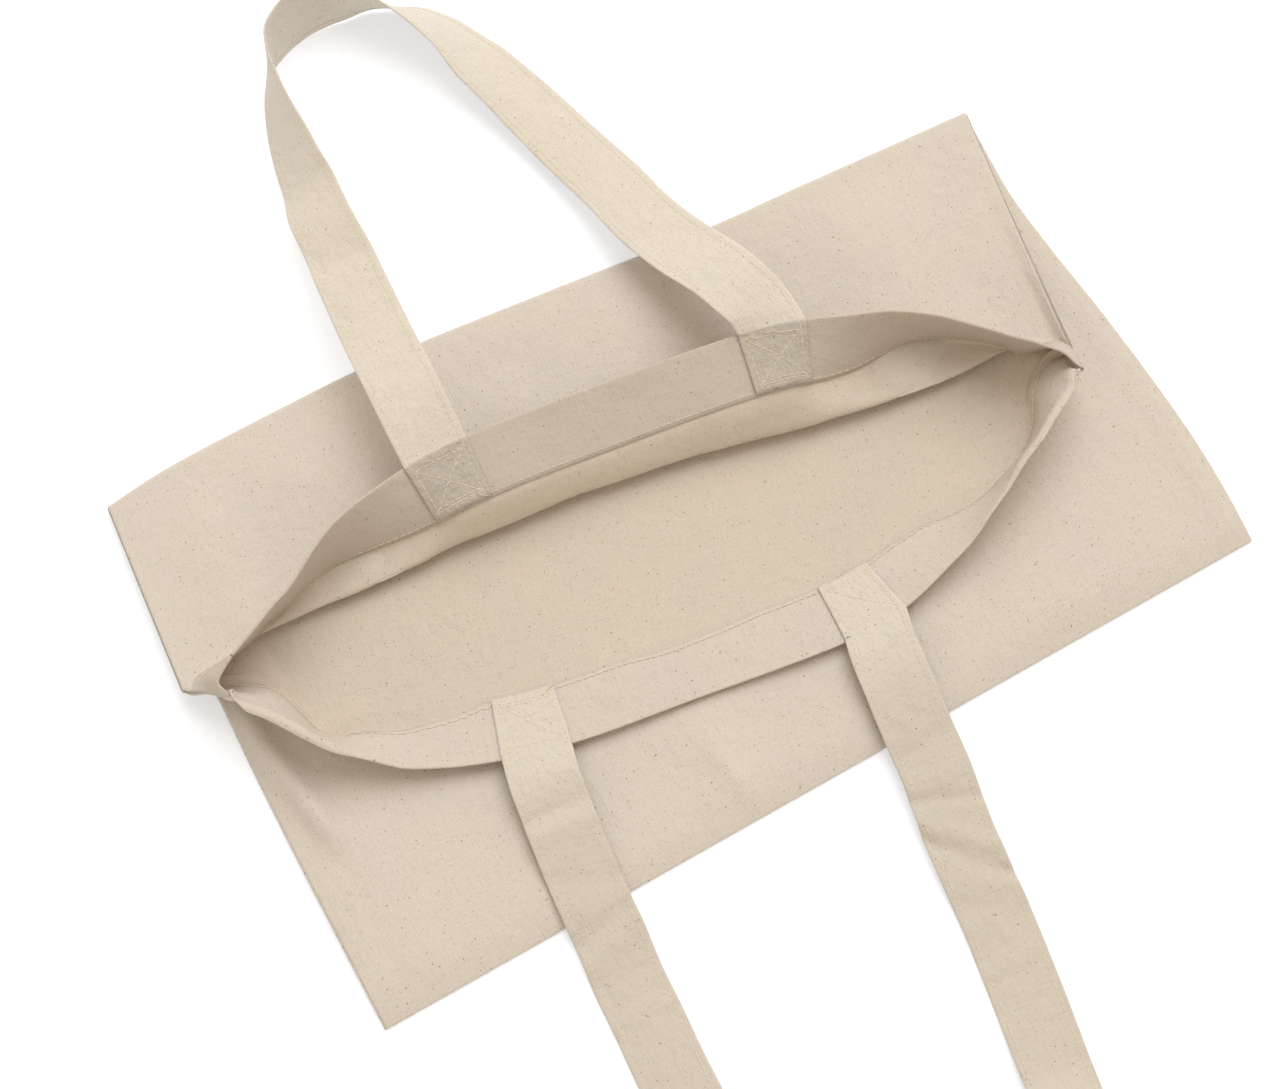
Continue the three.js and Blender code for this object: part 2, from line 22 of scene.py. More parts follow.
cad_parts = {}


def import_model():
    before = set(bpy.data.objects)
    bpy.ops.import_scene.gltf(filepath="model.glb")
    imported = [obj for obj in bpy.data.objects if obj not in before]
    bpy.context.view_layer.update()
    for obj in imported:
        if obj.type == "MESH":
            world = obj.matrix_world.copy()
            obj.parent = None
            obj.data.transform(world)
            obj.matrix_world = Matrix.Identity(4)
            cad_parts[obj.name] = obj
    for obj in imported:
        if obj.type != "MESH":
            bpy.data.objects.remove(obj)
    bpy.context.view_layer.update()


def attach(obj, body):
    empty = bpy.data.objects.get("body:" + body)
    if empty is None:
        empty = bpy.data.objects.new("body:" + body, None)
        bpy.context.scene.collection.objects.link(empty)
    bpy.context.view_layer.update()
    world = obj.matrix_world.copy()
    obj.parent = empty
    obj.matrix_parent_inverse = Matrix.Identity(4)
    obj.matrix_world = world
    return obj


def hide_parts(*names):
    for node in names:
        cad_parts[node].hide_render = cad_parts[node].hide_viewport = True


LOG = logging.getLogger("cotton_bag")

MILLIMETRE = 0.001
# The middle of the bag's bottom edge, in the frame.
TABLE_ORIGIN = Vector((2.0823, -116.2637, 0.0))

BAG_WIDTH = 420.0
PANEL = 395.0
HEM = 28.0
STRAP_WIDTH = 30.0
STRAP_SPACING = 151.0

# Heights of the four layers' middle surfaces where they lie flat on each other.
SOLID = 1.0
LAYER_STEP = 1.35
BACK_LOW = SOLID / 2
FRONT_LOW = BACK_LOW + LAYER_STEP
FRONT_HIGH = FRONT_LOW + LAYER_STEP
BACK_HIGH = FRONT_HIGH + LAYER_STEP

# Step along the mouth over which the direction of a rim is read.
RIM_STEP = 6.0
# Brings the noise to heights from about -1 to 1, and parts its sets of waves.
NOISE_SPAN = 1.6
SEED_LIFT = 1.7
TINY = 1e-6

Amount = TypeVar("Amount", float, Vector)
Station = TypeVar("Station")
Spot = tuple[Vector, Vector]
Colour = tuple[float, float, float, float]


def clamp(value: float, low: float, high: float) -> float:
    """Keep a number inside a range.

    Args:
        value: The number.
        low: Lowest it may be.
        high: Highest it may be.

    Returns:
        The number, or the end of the range that it passed.
    """
    return min(max(value, low), high)


def smooth(start: float, end: float, value: float) -> float:
    """Step softly from 0 to 1.

    Args:
        start: Where the step begins.
        end: Where it is complete; may lie below start.
        value: Where it is read.

    Returns:
        The share of the step that is done.
    """
    t = clamp((value - start) / (end - start), 0.0, 1.0)
    return t * t * (3 - 2 * t)


def between(marks: Sequence[float], value: float) -> tuple[int, float]:
    """Find a value on a rising scale.

    Args:
        marks: The scale's marks.
        value: The value.

    Returns:
        The mark before it, and the share of the way to the next mark.
    """
    k = min(max(bisect_right(marks, value) - 1, 0), len(marks) - 2)
    return k, clamp((value - marks[k]) / max(marks[k + 1] - marks[k], TINY), 0.0, 1.0)


def hermite(a: Amount, b: Amount, ta: Amount, tb: Amount, t: float) -> Amount:
    """Read a cubic with given end tangents.

    Args:
        a: First end.
        b: Last end.
        ta: Tangent at the first end.
        tb: Tangent at the last end.
        t: Share of the way.

    Returns:
        The number or point there.
    """
    h01, h10, h11 = t * t * (3 - 2 * t), t * (1 - t) ** 2, t * t * (t - 1)
    return a * (1 - h01) + b * h01 + ta * h10 + tb * h11


def through(rows: Sequence[object], name: str, u: float) -> float:
    """Read one named column of a table as a smooth curve.

    Args:
        rows: The table's rows, in the order of their u.
        name: The column.
        u: Where it is read.

    Returns:
        The value of a cubic through the rows.
    """
    i = 0
    while i < len(rows) - 2 and u > rows[i + 1].u:
        i += 1
    span = rows[i + 1].u - rows[i].u
    slopes = []
    for k in (i, i + 1):
        a, b = rows[max(k - 1, 0)], rows[min(k + 1, len(rows) - 1)]
        slopes.append(span * (getattr(b, name) - getattr(a, name)) / (b.u - a.u))
    t = clamp((u - rows[i].u) / span, 0.0, 1.0)
    return hermite(getattr(rows[i], name), getattr(rows[i + 1], name), *slopes, t)


def station_at(rows: Sequence[Station], u: float) -> Station:
    """Read every column of a table at one place.

    Args:
        rows: The table's rows.
        u: The place.

    Returns:
        A row like the table's own, for that place.
    """
    kind = type(rows[0])
    return kind(u, *(through(rows, column.name, u) for column in fields(kind)[1:]))


def away(rows: Sequence[object], u: float) -> Vector:
    """Level direction square to one rim, toward the bag's fold.

    Args:
        rows: The rim's table.
        u: Distance from the left seam.

    Returns:
        The unit direction.
    """
    low, high = max(u - RIM_STEP, 0.0), min(u + RIM_STEP, BAG_WIDTH)
    dx = through(rows, "rx", high) - through(rows, "rx", low)
    dy = through(rows, "ry", high) - through(rows, "ry", low)
    return Vector((-dy, dx, 0.0)).normalized()


def tilted(a: Vector, b: Vector, rise: float) -> Vector:
    """Unit direction from a to b, laid level and then tilted up.

    Args:
        a: Start.
        b: End.
        rise: Tilt in degrees.

    Returns:
        The direction.
    """
    level = Vector((b.x - a.x, b.y - a.y, 0.0)).normalized() * math.cos(math.radians(rise))
    level.z = math.sin(math.radians(rise))
    return level


def frame_place(point: Vector) -> Vector:
    """Place of a table point in the frame.

    Args:
        point: The point in millimetres from the middle of the bottom edge.

    Returns:
        The point in metres in the frame.
    """
    return (point + TABLE_ORIGIN) * MILLIMETRE


class Layer(Enum):
    """The two layers of cloth that show from above."""

    FRONT = "front"
    BACK = "back"


class Half(Enum):
    """The two halves of the cloth, each with its own hem and its own handle."""

    FRONT = -1
    BACK = 1


@dataclass(frozen=True)
class Ramp:
    """A soft step: 0 up to its start and 1 from its end on, which may lie below the start."""

    start: float
    end: float

    def at(self, value: float) -> float:
        """Share of the step that is done at a value."""
        return smooth(self.start, self.end, value)


@dataclass(frozen=True)
class Waves:
    """Soft uneven waves: their height, their rough length, and which set of waves they are."""

    height: float
    length: float
    seed: float

    def at(self, x: float, y: float, shift: float = 0.0) -> float:
        """Read the waves.

        Args:
            x: Place.
            y: Place.
            shift: What is added to the seed.

        Returns:
            The height of the waves there.
        """
        seed = self.seed + shift
        place = Vector((x / self.length + seed, y / self.length - seed, seed * SEED_LIFT))
        return self.height * (NOISE_SPAN * noise.noise(place))


@dataclass(frozen=True)
class FoldStation:
    """Outermost y of the back's fold at u, and how far the front's fold stops short of it."""

    u: float
    fold: float
    short: float


@dataclass(frozen=True)
class FrontStation:
    """Front layer at u: share that lies flat, slope of the hem and of its tip, bend, rim point."""

    u: float
    foot: float
    lean: float
    tip: float
    bend: float
    rx: float
    ry: float
    rz: float


@dataclass(frozen=True)
class BackStation:
    """Back layer at u: crease point, slope there, its roundness, slope of the hem, rim point."""

    u: float
    kx: float
    ky: float
    kz: float
    rise: float
    curl: float
    lean: float
    rx: float
    ry: float
    rz: float


@dataclass(frozen=True)
class SideStation:
    """How far the two side edges wander from straight, at the distance u from the bottom."""

    u: float
    left: float
    right: float


@dataclass(frozen=True)
class Ridge:
    """A soft ridge of one layer from a to b, or a trough where its height is below zero."""

    layer: Layer
    ax: float
    ay: float
    bx: float
    by: float
    width: float
    height: float
    taper: float = 1.4

    def lift(self, x: float, y: float) -> float:
        """Height of the ridge at one place.

        Args:
            x: Place.
            y: Place.

        Returns:
            The height.
        """
        dx, dy = self.bx - self.ax, self.by - self.ay
        length = math.hypot(dx, dy)
        along = ((x - self.ax) * dx + (y - self.ay) * dy) / (length * length)
        aside = ((x - self.ax) * dy - (y - self.ay) * dx) / length
        beyond = max(0.0, -along, along - 1) * length
        far = (aside / self.width) ** 2 + (beyond / (self.width * self.taper)) ** 2
        return self.height * math.exp(-far)


@dataclass(frozen=True)
class CrushFold:
    """Small folds round one point, where the hem is crushed at an end of the mouth."""

    x: float
    y: float
    reach: float
    length: float
    turn: float
    height: float

    def lift(self, x: float, y: float) -> float:
        """Height of the folds at one place.

        Args:
            x: Place.
            y: Place.

        Returns:
            The height.
        """
        dx, dy, a = x - self.x, y - self.y, math.radians(self.turn)
        near = math.exp(-(dx * dx + dy * dy) / self.reach**2)
        across = dx * math.sin(a) + dy * math.cos(a)
        return self.height * near * math.sin(2 * math.pi * across / self.length)


@dataclass(frozen=True)
class PathPoint:
    """One point of a handle's free path, and how far its width leans up from level."""

    x: float
    y: float
    z: float
    lean: float


@dataclass(frozen=True)
class KnotLobe:
    """A bulge of the front hem where it is bunched: how far from the rim, its length, its height."""

    depth: float
    length: float
    height: float

    def bulge(self, depth: float) -> float:
        """How far the hem bulges at a distance from the rim."""
        return self.height * math.exp(-(((depth - self.depth) / self.length) ** 2))


@dataclass(frozen=True)
class StrapWave:
    """A crease across a handle: where along it, how long, how high, and how skewed."""

    along: float
    length: float
    height: float
    skew: float = 0.0

    def lift(self, along: float) -> float:
        """Height of the crease at a distance along the handle."""
        return self.height * math.exp(-(((along - self.along) / self.length) ** 2))


@dataclass(frozen=True)
class Fullness:
    """How thick a handle is, as a share of its thickness, at a share of its width."""

    share: float
    full: float


KNOT = (KnotLobe(5, 3.6, 4.2), KnotLobe(17, 5.5, 3.4))

FOLD_STATIONS = (
    FoldStation(0, 256.5, 0),
    FoldStation(28, 259.5, 5),
    FoldStation(75, 260, 14),
    FoldStation(134.5, 258.5, 23),
    FoldStation(210, 251, 27),
    FoldStation(285.5, 242.5, 25),
    FoldStation(335, 239.5, 18),
    FoldStation(388, 236, 7),
    FoldStation(420, 234, 0),
)

FRONT_STATIONS = (
    FrontStation(0, 0.05, 48, 20, 10, -202, 146, 30),
    FrontStation(8, 0.3, 54, -30, 16, -199, 139, 31),
    FrontStation(18, 0.4, 60, -45, 14, -194, 133, 31.5),
    FrontStation(28, 0.5, 68, -45, 12, -189, 126, 31),
    FrontStation(40, 0.55, 75, -45, 10, -183, 117, 28.5),
    FrontStation(52, 0.58, 66, -30, 12, -176, 108, 24),
    FrontStation(64, 0.6, 44, 10, 16, -167, 101, 18),
    FrontStation(84, 0.62, 20, 16, 24, -150, 88, 12),
    FrontStation(134.5, 0.62, 7, 7, 28, -102, 69, 9),
    FrontStation(210, 0.62, 4.5, 4, 28, -27, 56, 7.5),
    FrontStation(285.5, 0.62, 9, 8, 26, 49, 46, 9.5),
    FrontStation(335, 0.6, 27, 24, 20, 97, 55, 16),
    FrontStation(362, 0.58, 66, 50, 12, 121, 65, 25),
    FrontStation(378, 0.55, 80, 20, 9, 137, 73, 30),
    FrontStation(388, 0.5, 82, 0, 9, 147, 77, 32),
    FrontStation(398, 0.42, 76, -10, 10, 158, 83, 33),
    FrontStation(408, 0.3, 58, -10, 14, 168, 88, 33),
    FrontStation(420, 0.05, 44, 10, 10, 179, 94, 33),
)

BACK_STATIONS = (
    BackStation(0, -218, 165, 11, 15, 6, 60, -202, 147, 31),
    BackStation(8, -209, 168, 10, 35, 6, 95, -203, 155, 35),
    BackStation(28, -184, 171, 9.5, 60, 6, 100, -178, 167, 38),
    BackStation(52, -157, 170, 9.5, 78, 6, 94, -158, 176, 38),
    BackStation(75, -138, 168, 9.5, 84, 6, 80, -138, 187, 37),
    BackStation(97, -120, 166, 9.5, 86, 6, 55, -116, 194, 35),
    BackStation(134.5, -84, 164, 10, 88, 6, 18, -79, 199, 31),
    BackStation(210, -7, 155, 10, 88, 6, 17, -3, 191, 30),
    BackStation(285.5, 65, 139, 10, 88, 6, 18, 74, 178, 31),
    BackStation(318, 96, 132, 10, 88, 6, 50, 104, 165, 34),
    BackStation(335, 112, 129, 9.5, 86, 6, 70, 120, 157, 36),
    BackStation(355, 132, 126, 9.5, 84, 6, 90, 136, 146, 37),
    BackStation(375, 151, 125, 9.5, 72, 6, 98, 150, 132, 38),
    BackStation(388, 165, 124, 9.5, 60, 6, 100, 159, 122, 38),
    BackStation(410, 182, 117, 14, 35, 6, 90, 174, 106, 36),
    BackStation(420, 184, 110, 20, 20, 6, 60, 179, 95, 34),
)

SIDE_STATIONS = (
    SideStation(0, 0, 0),
    SideStation(40, 0.5, 3),
    SideStation(80, 1, 3),
    SideStation(120, 2, 1),
    SideStation(160, 3.5, -2.5),
    SideStation(190, 3, -4),
    SideStation(225, 1, -1.5),
    SideStation(260, 0, 0),
)

RIDGES = (
    Ridge(Layer.FRONT, -34, 4, -39, 40, 15, 1.5),
    Ridge(Layer.FRONT, -32.5, 3, -37, 36, 3.6, 1.4),
    Ridge(Layer.FRONT, -186, 20, -188, 92, 13, 1.4),
    Ridge(Layer.FRONT, -193, 86, -201, 142, 5.2, 6.0),
    Ridge(Layer.FRONT, 118, 14, 140, 62, 22, 1.8),
    Ridge(Layer.BACK, -122, 178, -104, 246, 17, 2.6),
    Ridge(Layer.BACK, 18, 176, 34, 236, 19, 2.2),
    Ridge(Layer.BACK, 122, 150, 152, 220, 20, 2.6),
    Ridge(Layer.BACK, -186, 190, -178, 242, 16, 2.0),
)

CRUSHED = (
    CrushFold(-208, 156, 11, 12, -20, 1.2),
    CrushFold(181, 100, 10, 11, 25, 1.0),
)

BACK_PATH = (
    PathPoint(-78, 217, 39, 0),
    PathPoint(-77, 235, 40, 2),
    PathPoint(-76, 253, 38, 5),
    PathPoint(-72, 297, 30, 18),
    PathPoint(-69, 331, 23, 33),
    PathPoint(-66, 354, 19, 47),
    PathPoint(-63, 376, 17, 61),
    PathPoint(-59, 394, 16, 74),
    PathPoint(-54, 405, 16, 86),
    PathPoint(-48, 413, 16, 100),
    PathPoint(-36, 419, 15, 113),
    PathPoint(-22, 420, 15, 113),
    PathPoint(-11, 416, 16, 97),
    PathPoint(-1, 410, 16, 76),
    PathPoint(12, 397, 14, 55),
    PathPoint(22, 382, 11, 36),
    PathPoint(30, 361, 9, 20),
    PathPoint(38, 335, 7, 10),
    PathPoint(45, 307, 7, 4),
    PathPoint(51, 280, 11, 0),
    PathPoint(55, 252, 18, -2),
    PathPoint(60, 229, 28, -2),
    PathPoint(66, 211, 35, 0),
    PathPoint(70, 197, 37, 0),
    PathPoint(73, 187, 36, 1),
)

FRONT_PATH = (
    PathPoint(-105, 57, 12, 0),
    PathPoint(-107, 44, 10, 0),
    PathPoint(-110, 21, 7.6, 0),
    PathPoint(-112, 0, 5.5, 0),
    PathPoint(-113, -14, 3, 0),
    PathPoint(-115, -31, 1, 0),
    PathPoint(-116, -49, 0.8, 0),
    PathPoint(-118, -75, 0.8, 0),
    PathPoint(-118, -97, 4, 15),
    PathPoint(-114, -118, 11, 44),
    PathPoint(-103, -142, 15.5, 78),
    PathPoint(-84, -164, 16, 94),
    PathPoint(-58, -181, 16, 97),
    PathPoint(-30, -189, 16, 92),
    PathPoint(-6, -186, 15, 72),
    PathPoint(8, -177, 10, 42),
    PathPoint(15, -164, 4, 14),
    PathPoint(17, -150, 0.8, 0),
    PathPoint(23, -119, 0.8, 0),
    PathPoint(26, -102, 1, 0),
    PathPoint(29, -84, 1.8, 0),
    PathPoint(33, -49, 4.5, 0),
    PathPoint(39, -16, 7, 0),
    PathPoint(41, 1, 9, 0),
    PathPoint(43, 16, 10.7, 0),
    PathPoint(46, 36, 12, 0),
)

BACK_WAVES = (
    StrapWave(128, 7, -0.9, 0.35),
    StrapWave(150, 9, 0.9, 0.5),
    StrapWave(172, 8, -0.7, 0.2),
    StrapWave(330, 8, 0.9, -0.6),
    StrapWave(352, 7, -0.6, -0.3),
    StrapWave(470, 9, 0.6, 0.3),
)

FRONT_WAVES = (
    StrapWave(53, 3.4, 1.0, 0.1),
    StrapWave(61, 4.5, -0.8),
    StrapWave(84, 5.5, 0.7, -0.3),
    StrapWave(103, 4.0, 0.9, 0.25),
    StrapWave(113, 5.0, -0.8, 0.4),
    StrapWave(133, 3.2, 0.9, -0.2),
    StrapWave(143, 5.0, -0.6),
    StrapWave(446, 3.6, 0.9, 0.3),
    StrapWave(455, 5.0, -0.7, 0.1),
    StrapWave(478, 6.0, 0.6, -0.5),
    StrapWave(501, 3.4, 1.4, -0.9),
    StrapWave(511, 5.0, -1.1, -0.7),
    StrapWave(527, 2.6, 1.0, -0.2),
    StrapWave(537, 5.0, -0.6),
    StrapWave(551, 4.5, 0.7, 0.1),
)

# From the strap's middle to its edge: the seam presses it flat and the turned edge is full.
HALF_PROFILE = (
    Fullness(0.07, 1.1),
    Fullness(0.2, 1.06),
    Fullness(0.33, 0.95),
    Fullness(0.39, 0.74),
    Fullness(0.42, 0.82),
    Fullness(0.455, 0.92),
    Fullness(0.487, 0.72),
    Fullness(0.5, 0.3),
)
PROFILE = tuple(Fullness(-p.share, p.full) for p in reversed(HALF_PROFILE)) + HALF_PROFILE
SHARES = [p.share for p in PROFILE]
FULLEST = HALF_PROFILE[0].full


@dataclass
class Row:
    """One point of a profile: where it is and how far it is free to wave there."""

    point: Vector
    free: float = 0.0
    resting: bool = False


@dataclass
class FoldedCloth:
    """The middle surface of the bag's cloth, as it lies folded.

    Its rows run from the front rim round the bag to the back rim, and its columns from the
    left seam to the right one.
    """

    # Rows of each stretch, columns, and steps on a curve.
    hem_rows: int = 19
    behind_rows: int = 4
    crease_rows: int = 8
    rise_rows: int = 26
    lie_rows: int = 6
    turn_rows: int = 9
    low_rows: int = 34
    columns: int = 128
    curve_steps: int = 90
    roll_steps: int = 12
    # How the rows crowd toward a rim or a fold, and the columns toward the seams.
    hem_crowding: float = 1.35
    cuff_crowding: float = 0.9
    rise_crowding: float = 1.3
    seam_crowding: float = 0.035
    side_crowding: float = 0.03
    # Where the hem's edge lies: half its step, and its share of a stretch too short for it.
    hem_edge: float = 0.5
    cuff_hem: float = 0.85
    flap_hem: float = 0.97
    # How the two layers leave their folds and reach their hems.
    puff: float = 10.0
    curl_pull: float = 2.0
    roll: float = 2.8
    lowest_hem: float = 5.0
    least_lean: float = 0.1
    least_bend: float = 0.05
    most_bend: float = 2.8
    loose_height: float = 6.0
    # How the layers are drawn together at the side seams, and the hem bunched in the knot.
    seam_reach: float = 36.0
    hem_reach: float = 10.0
    grip_rows: int = 14
    seam_step: float = 4.0
    hem_room: float = 1.98
    room_rows: int = 3
    knot_middle: float = 4.0
    knot_droop: float = 0.35
    # Heights of the lower part's forms, and where waves and ridges begin and end.
    crease_end: float = 20.0
    bottom_roll: float = 1.8
    side_ridge: float = 0.4
    rest_lift: float = 0.55
    rest_wave: float = 0.45
    ridge_in: float = 2 / 7
    ridge_out: float = 3 / 7
    rise_free: Ramp = Ramp(0.02, 0.3)
    flap_free: Ramp = Ramp(0.1, 0.7)
    cuff_seam: Ramp = Ramp(28, 10)
    seam_ease: Ramp = Ramp(0, 0.35)
    knot_start: Ramp = Ramp(0.2, 2.6)
    knot_end: Ramp = Ramp(9.5, 3.6)
    crush_from: Ramp = Ramp(6, 14)
    ridges_start: Ramp = Ramp(1, 14)
    ridges_end: Ramp = Ramp(158, 136)
    low_start: Ramp = Ramp(1, 12)
    roll_start: Ramp = Ramp(0, 12)
    roll_end: Ramp = Ramp(110, 50)
    side_outer: Ramp = Ramp(1, 5)
    side_inner: Ramp = Ramp(13.5, 11)
    side_start: Ramp = Ramp(0, 8)
    # Waves of the whole cloth, and what is worked out.
    swell: Waves = Waves(0.8, 62, 3.1)
    rumple: Waves = Waves(0.45, 27, 7.7)
    crumple: Waves = Waves(0.16, 11, 5.2)
    grid: list[list[Vector]] = field(default_factory=list)
    inward: list[list[Vector]] = field(default_factory=list)
    stations: list[float] = field(default_factory=list)

    @property
    def near_rows(self) -> int:
        """Number of rows of the hem and close behind it."""
        return self.hem_rows + self.behind_rows

    def lower_x(self, u: float, y: float) -> float:
        """Where a point of the two lower layers lies across the bag.

        Args:
            u: Distance from the left seam.
            y: Distance from the bottom edge.

        Returns:
            The point's x.
        """
        share = u / BAG_WIDTH
        left = through(SIDE_STATIONS, "left", y) * (1 - share) ** 2
        right = through(SIDE_STATIONS, "right", y) * share**2
        return u - BAG_WIDTH / 2 + left + right

    def spaced(
        self, curve: Callable[[float], Vector], distances: Callable[[float], list[float]]
    ) -> list[Vector]:
        """Points of a curve at given distances, measured back from its end.

        Args:
            curve: Gives the point at a share of the way.
            distances: Gives the distances, from the curve's length.

        Returns:
            The points.
        """
        fine = [curve(1 - i / self.curve_steps) for i in range(self.curve_steps + 1)]
        lengths = list(accumulate(((b - a).length for a, b in zip(fine, fine[1:])), initial=0.0))
        points = []
        for d in distances(lengths[-1]):
            i, t = between(lengths, d)
            points.append(fine[i].lerp(fine[i + 1], t))
        return points

    def hem_distances(self, length: float, tail: int) -> list[float]:
        """Distances from the rim of the rows of the hem and of the turn behind it.

        Args:
            length: Length of the stretch from the crest to the rim.
            tail: Number of rows behind the hem.

        Returns:
            The distances, from the rim on.
        """
        hem = min(HEM, length * (self.cuff_hem if tail else self.flap_hem))
        last, behind = hem - self.hem_edge, hem + self.hem_edge
        rows = [last * (i / (self.hem_rows - 1)) ** self.hem_crowding for i in range(self.hem_rows)]
        rows.append(behind if tail else hem)
        for i in range(1, tail + 1):
            rows.append(behind + (length - behind) * (i / tail) ** self.cuff_crowding)
        return rows

    def back_upper(self, u: float) -> list[Row]:
        """Back layer from its fold over the crease to the rim.

        Args:
            u: Distance from the left seam.

        Returns:
            The rows.
        """
        here = station_at(BACK_STATIONS, u)
        centre = through(FOLD_STATIONS, "fold", u) - SOLID / 2 - (BACK_HIGH - BACK_LOW) / 2
        outer = Vector((self.lower_x(u, centre), centre, BACK_HIGH))
        crease = Vector((here.kx, here.ky, here.kz))
        rim = Vector((here.rx, here.ry, here.rz))
        along = crease - outer
        along.z = self.puff
        curl = tilted(outer, crease, here.rise) * here.curl
        rows = []
        count = self.rise_rows + self.lie_rows
        for i in range(1, count + 1):
            t = 1 - (1 - i / count) ** self.rise_crowding
            point = hermite(outer, crease, along, curl * self.curl_pull, t)
            rows.append(Row(point, self.rise_free.at(t)))
        lean = math.radians(here.lean)
        upward = away(BACK_STATIONS, u) * math.cos(lean) + Vector((0.0, 0.0, math.sin(lean)))
        near_seam = self.cuff_seam.at(min(u, BAG_WIDTH - u))
        line = (rim - upward * HEM).lerp(crease, near_seam)
        arrive = (rim - line).normalized() * ((line - crease).length / 2)

        def turn_up(t: float) -> Vector:
            """Point of the band below the hem, and then of the hem.

            Args:
                t: Share of the way from the crease to the rim, 0.5 at the hem's line.

            Returns:
                The point.
            """
            if t < 0.5:
                return hermite(crease, line, curl, arrive, t * 2)
            return line.lerp(rim, t * 2 - 1)

        cuff = self.spaced(turn_up, lambda length: self.hem_distances(length, self.crease_rows))
        return rows + [Row(p, 1.0) for p in reversed(cuff[:-1])]

    def front_upper(self, u: float, centre: float) -> list[Row]:
        """Front layer from its rim over the crest and down to its fold.

        Args:
            u: Distance from the left seam.
            centre: The fold's centre, y.

        Returns:
            The rows.
        """
        here = station_at(FRONT_STATIONS, u)
        rim = Vector((here.rx, here.ry, here.rz))
        lean, tip = math.radians(here.lean), math.radians(here.tip)
        inward = away(FRONT_STATIONS, u)
        over = self.sloped(inward, lean)
        rolled = [Vector((0.0, 0.0, 0.0))]
        for i in range(self.roll_steps):
            slope = tip + (lean - tip) * (i + 0.5) / self.roll_steps
            rolled.append(rolled[-1] - self.sloped(inward, slope) * (self.roll / self.roll_steps))
        start = rim + rolled[-1]
        reach = min(HEM - self.roll, (start.z - self.lowest_hem) / max(math.sin(lean), self.least_lean))
        crest = start - over * reach

        def hem_line(t: float) -> Vector:
            """Point of the hem.

            Args:
                t: Share of the way from the crest to the rim.

            Returns:
                The point.
            """
            left = (1 - t) * (reach + self.roll)
            if left >= self.roll:
                return start - over * (left - self.roll)
            k = left / self.roll * self.roll_steps
            i = min(int(k), self.roll_steps - 1)
            return rim + rolled[i].lerp(rolled[i + 1], k - i)

        inner = Vector((self.lower_x(u, centre), centre, FRONT_HIGH))
        foot = inner.lerp(crest, here.foot)
        foot.z = FRONT_HIGH
        along = crest - foot
        along.z = 0.0
        points = self.spaced(hem_line, lambda length: self.hem_distances(length, 0))
        points[self.hem_rows] = crest.copy()
        rows = [Row(p, self.loose_at(p.z)) for p in points]
        count = self.crease_rows + self.rise_rows
        steep = max(math.sin(lean), self.least_bend)
        bend = over * min(here.bend, self.most_bend * (crest.z - FRONT_HIGH) / steep)
        for i in range(1, count + 1):
            t = 1 - i / count
            point = hermite(foot, crest, along, bend, t)
            rows.append(Row(point, self.flap_free.at(t) * self.loose_at(point.z)))
        rows += [Row(foot.lerp(inner, i / self.lie_rows)) for i in range(1, self.lie_rows + 1)]
        return rows

    @staticmethod
    def sloped(inward: Vector, angle: float) -> Vector:
        """Direction toward the rim, level outward at 0 and straight up at a quarter turn.

        Args:
            inward: Level direction away from the rim.
            angle: The slope in radians.

        Returns:
            The unit direction.
        """
        return inward * -math.cos(angle) + Vector((0.0, 0.0, math.sin(angle)))

    def loose_at(self, height: float) -> float:
        """How far the front layer is free to wave, so that it stays off the layers below.

        Args:
            height: Its height.

        Returns:
            The share.
        """
        return smooth(FRONT_HIGH, FRONT_HIGH + self.loose_height, height)

    def seam_share(self, edge: float, reach: float) -> float:
        """How far a point is drawn toward the side seam.

        Args:
            edge: Its distance from the seam, along the cloth.
            reach: How far from the seam the pull ends.

        Returns:
            The share, 1 at the seam.
        """
        left = clamp(1 - edge / reach, 0.0, 1.0)
        return left * self.seam_ease.at(left)

    def knot(self, u: float, depth: float) -> Vector:
        """How far the front hem bulges out where it is bunched at the left end of the mouth.

        Args:
            u: Distance from the left seam.
            depth: Distance from the rim.

        Returns:
            The offset.
        """
        bulge = sum(lobe.bulge(depth) for lobe in KNOT) * self.knot_start.at(u) * self.knot_end.at(u)
        return away(FRONT_STATIONS, self.knot_middle) * -bulge - Vector((0.0, 0.0, self.knot_droop * bulge))

    def nested(self, back: list[Row], beside: list[Vector], i: int) -> Vector:
        """Place of the front layer just inside the back layer, at a side seam.

        Args:
            back: The back layer's rows.
            beside: The same rows a little farther right.
            i: Which row.

        Returns:
            The point.
        """
        along = back[min(i + 1, len(back) - 1)].point - back[max(i - 1, 0)].point
        side = (beside[i] - back[i].point).cross(along).normalized()
        first = len(back) - self.hem_rows - 1
        room = LAYER_STEP + self.hem_room * smooth(first - self.room_rows, first, i)
        return back[i].point + side * room

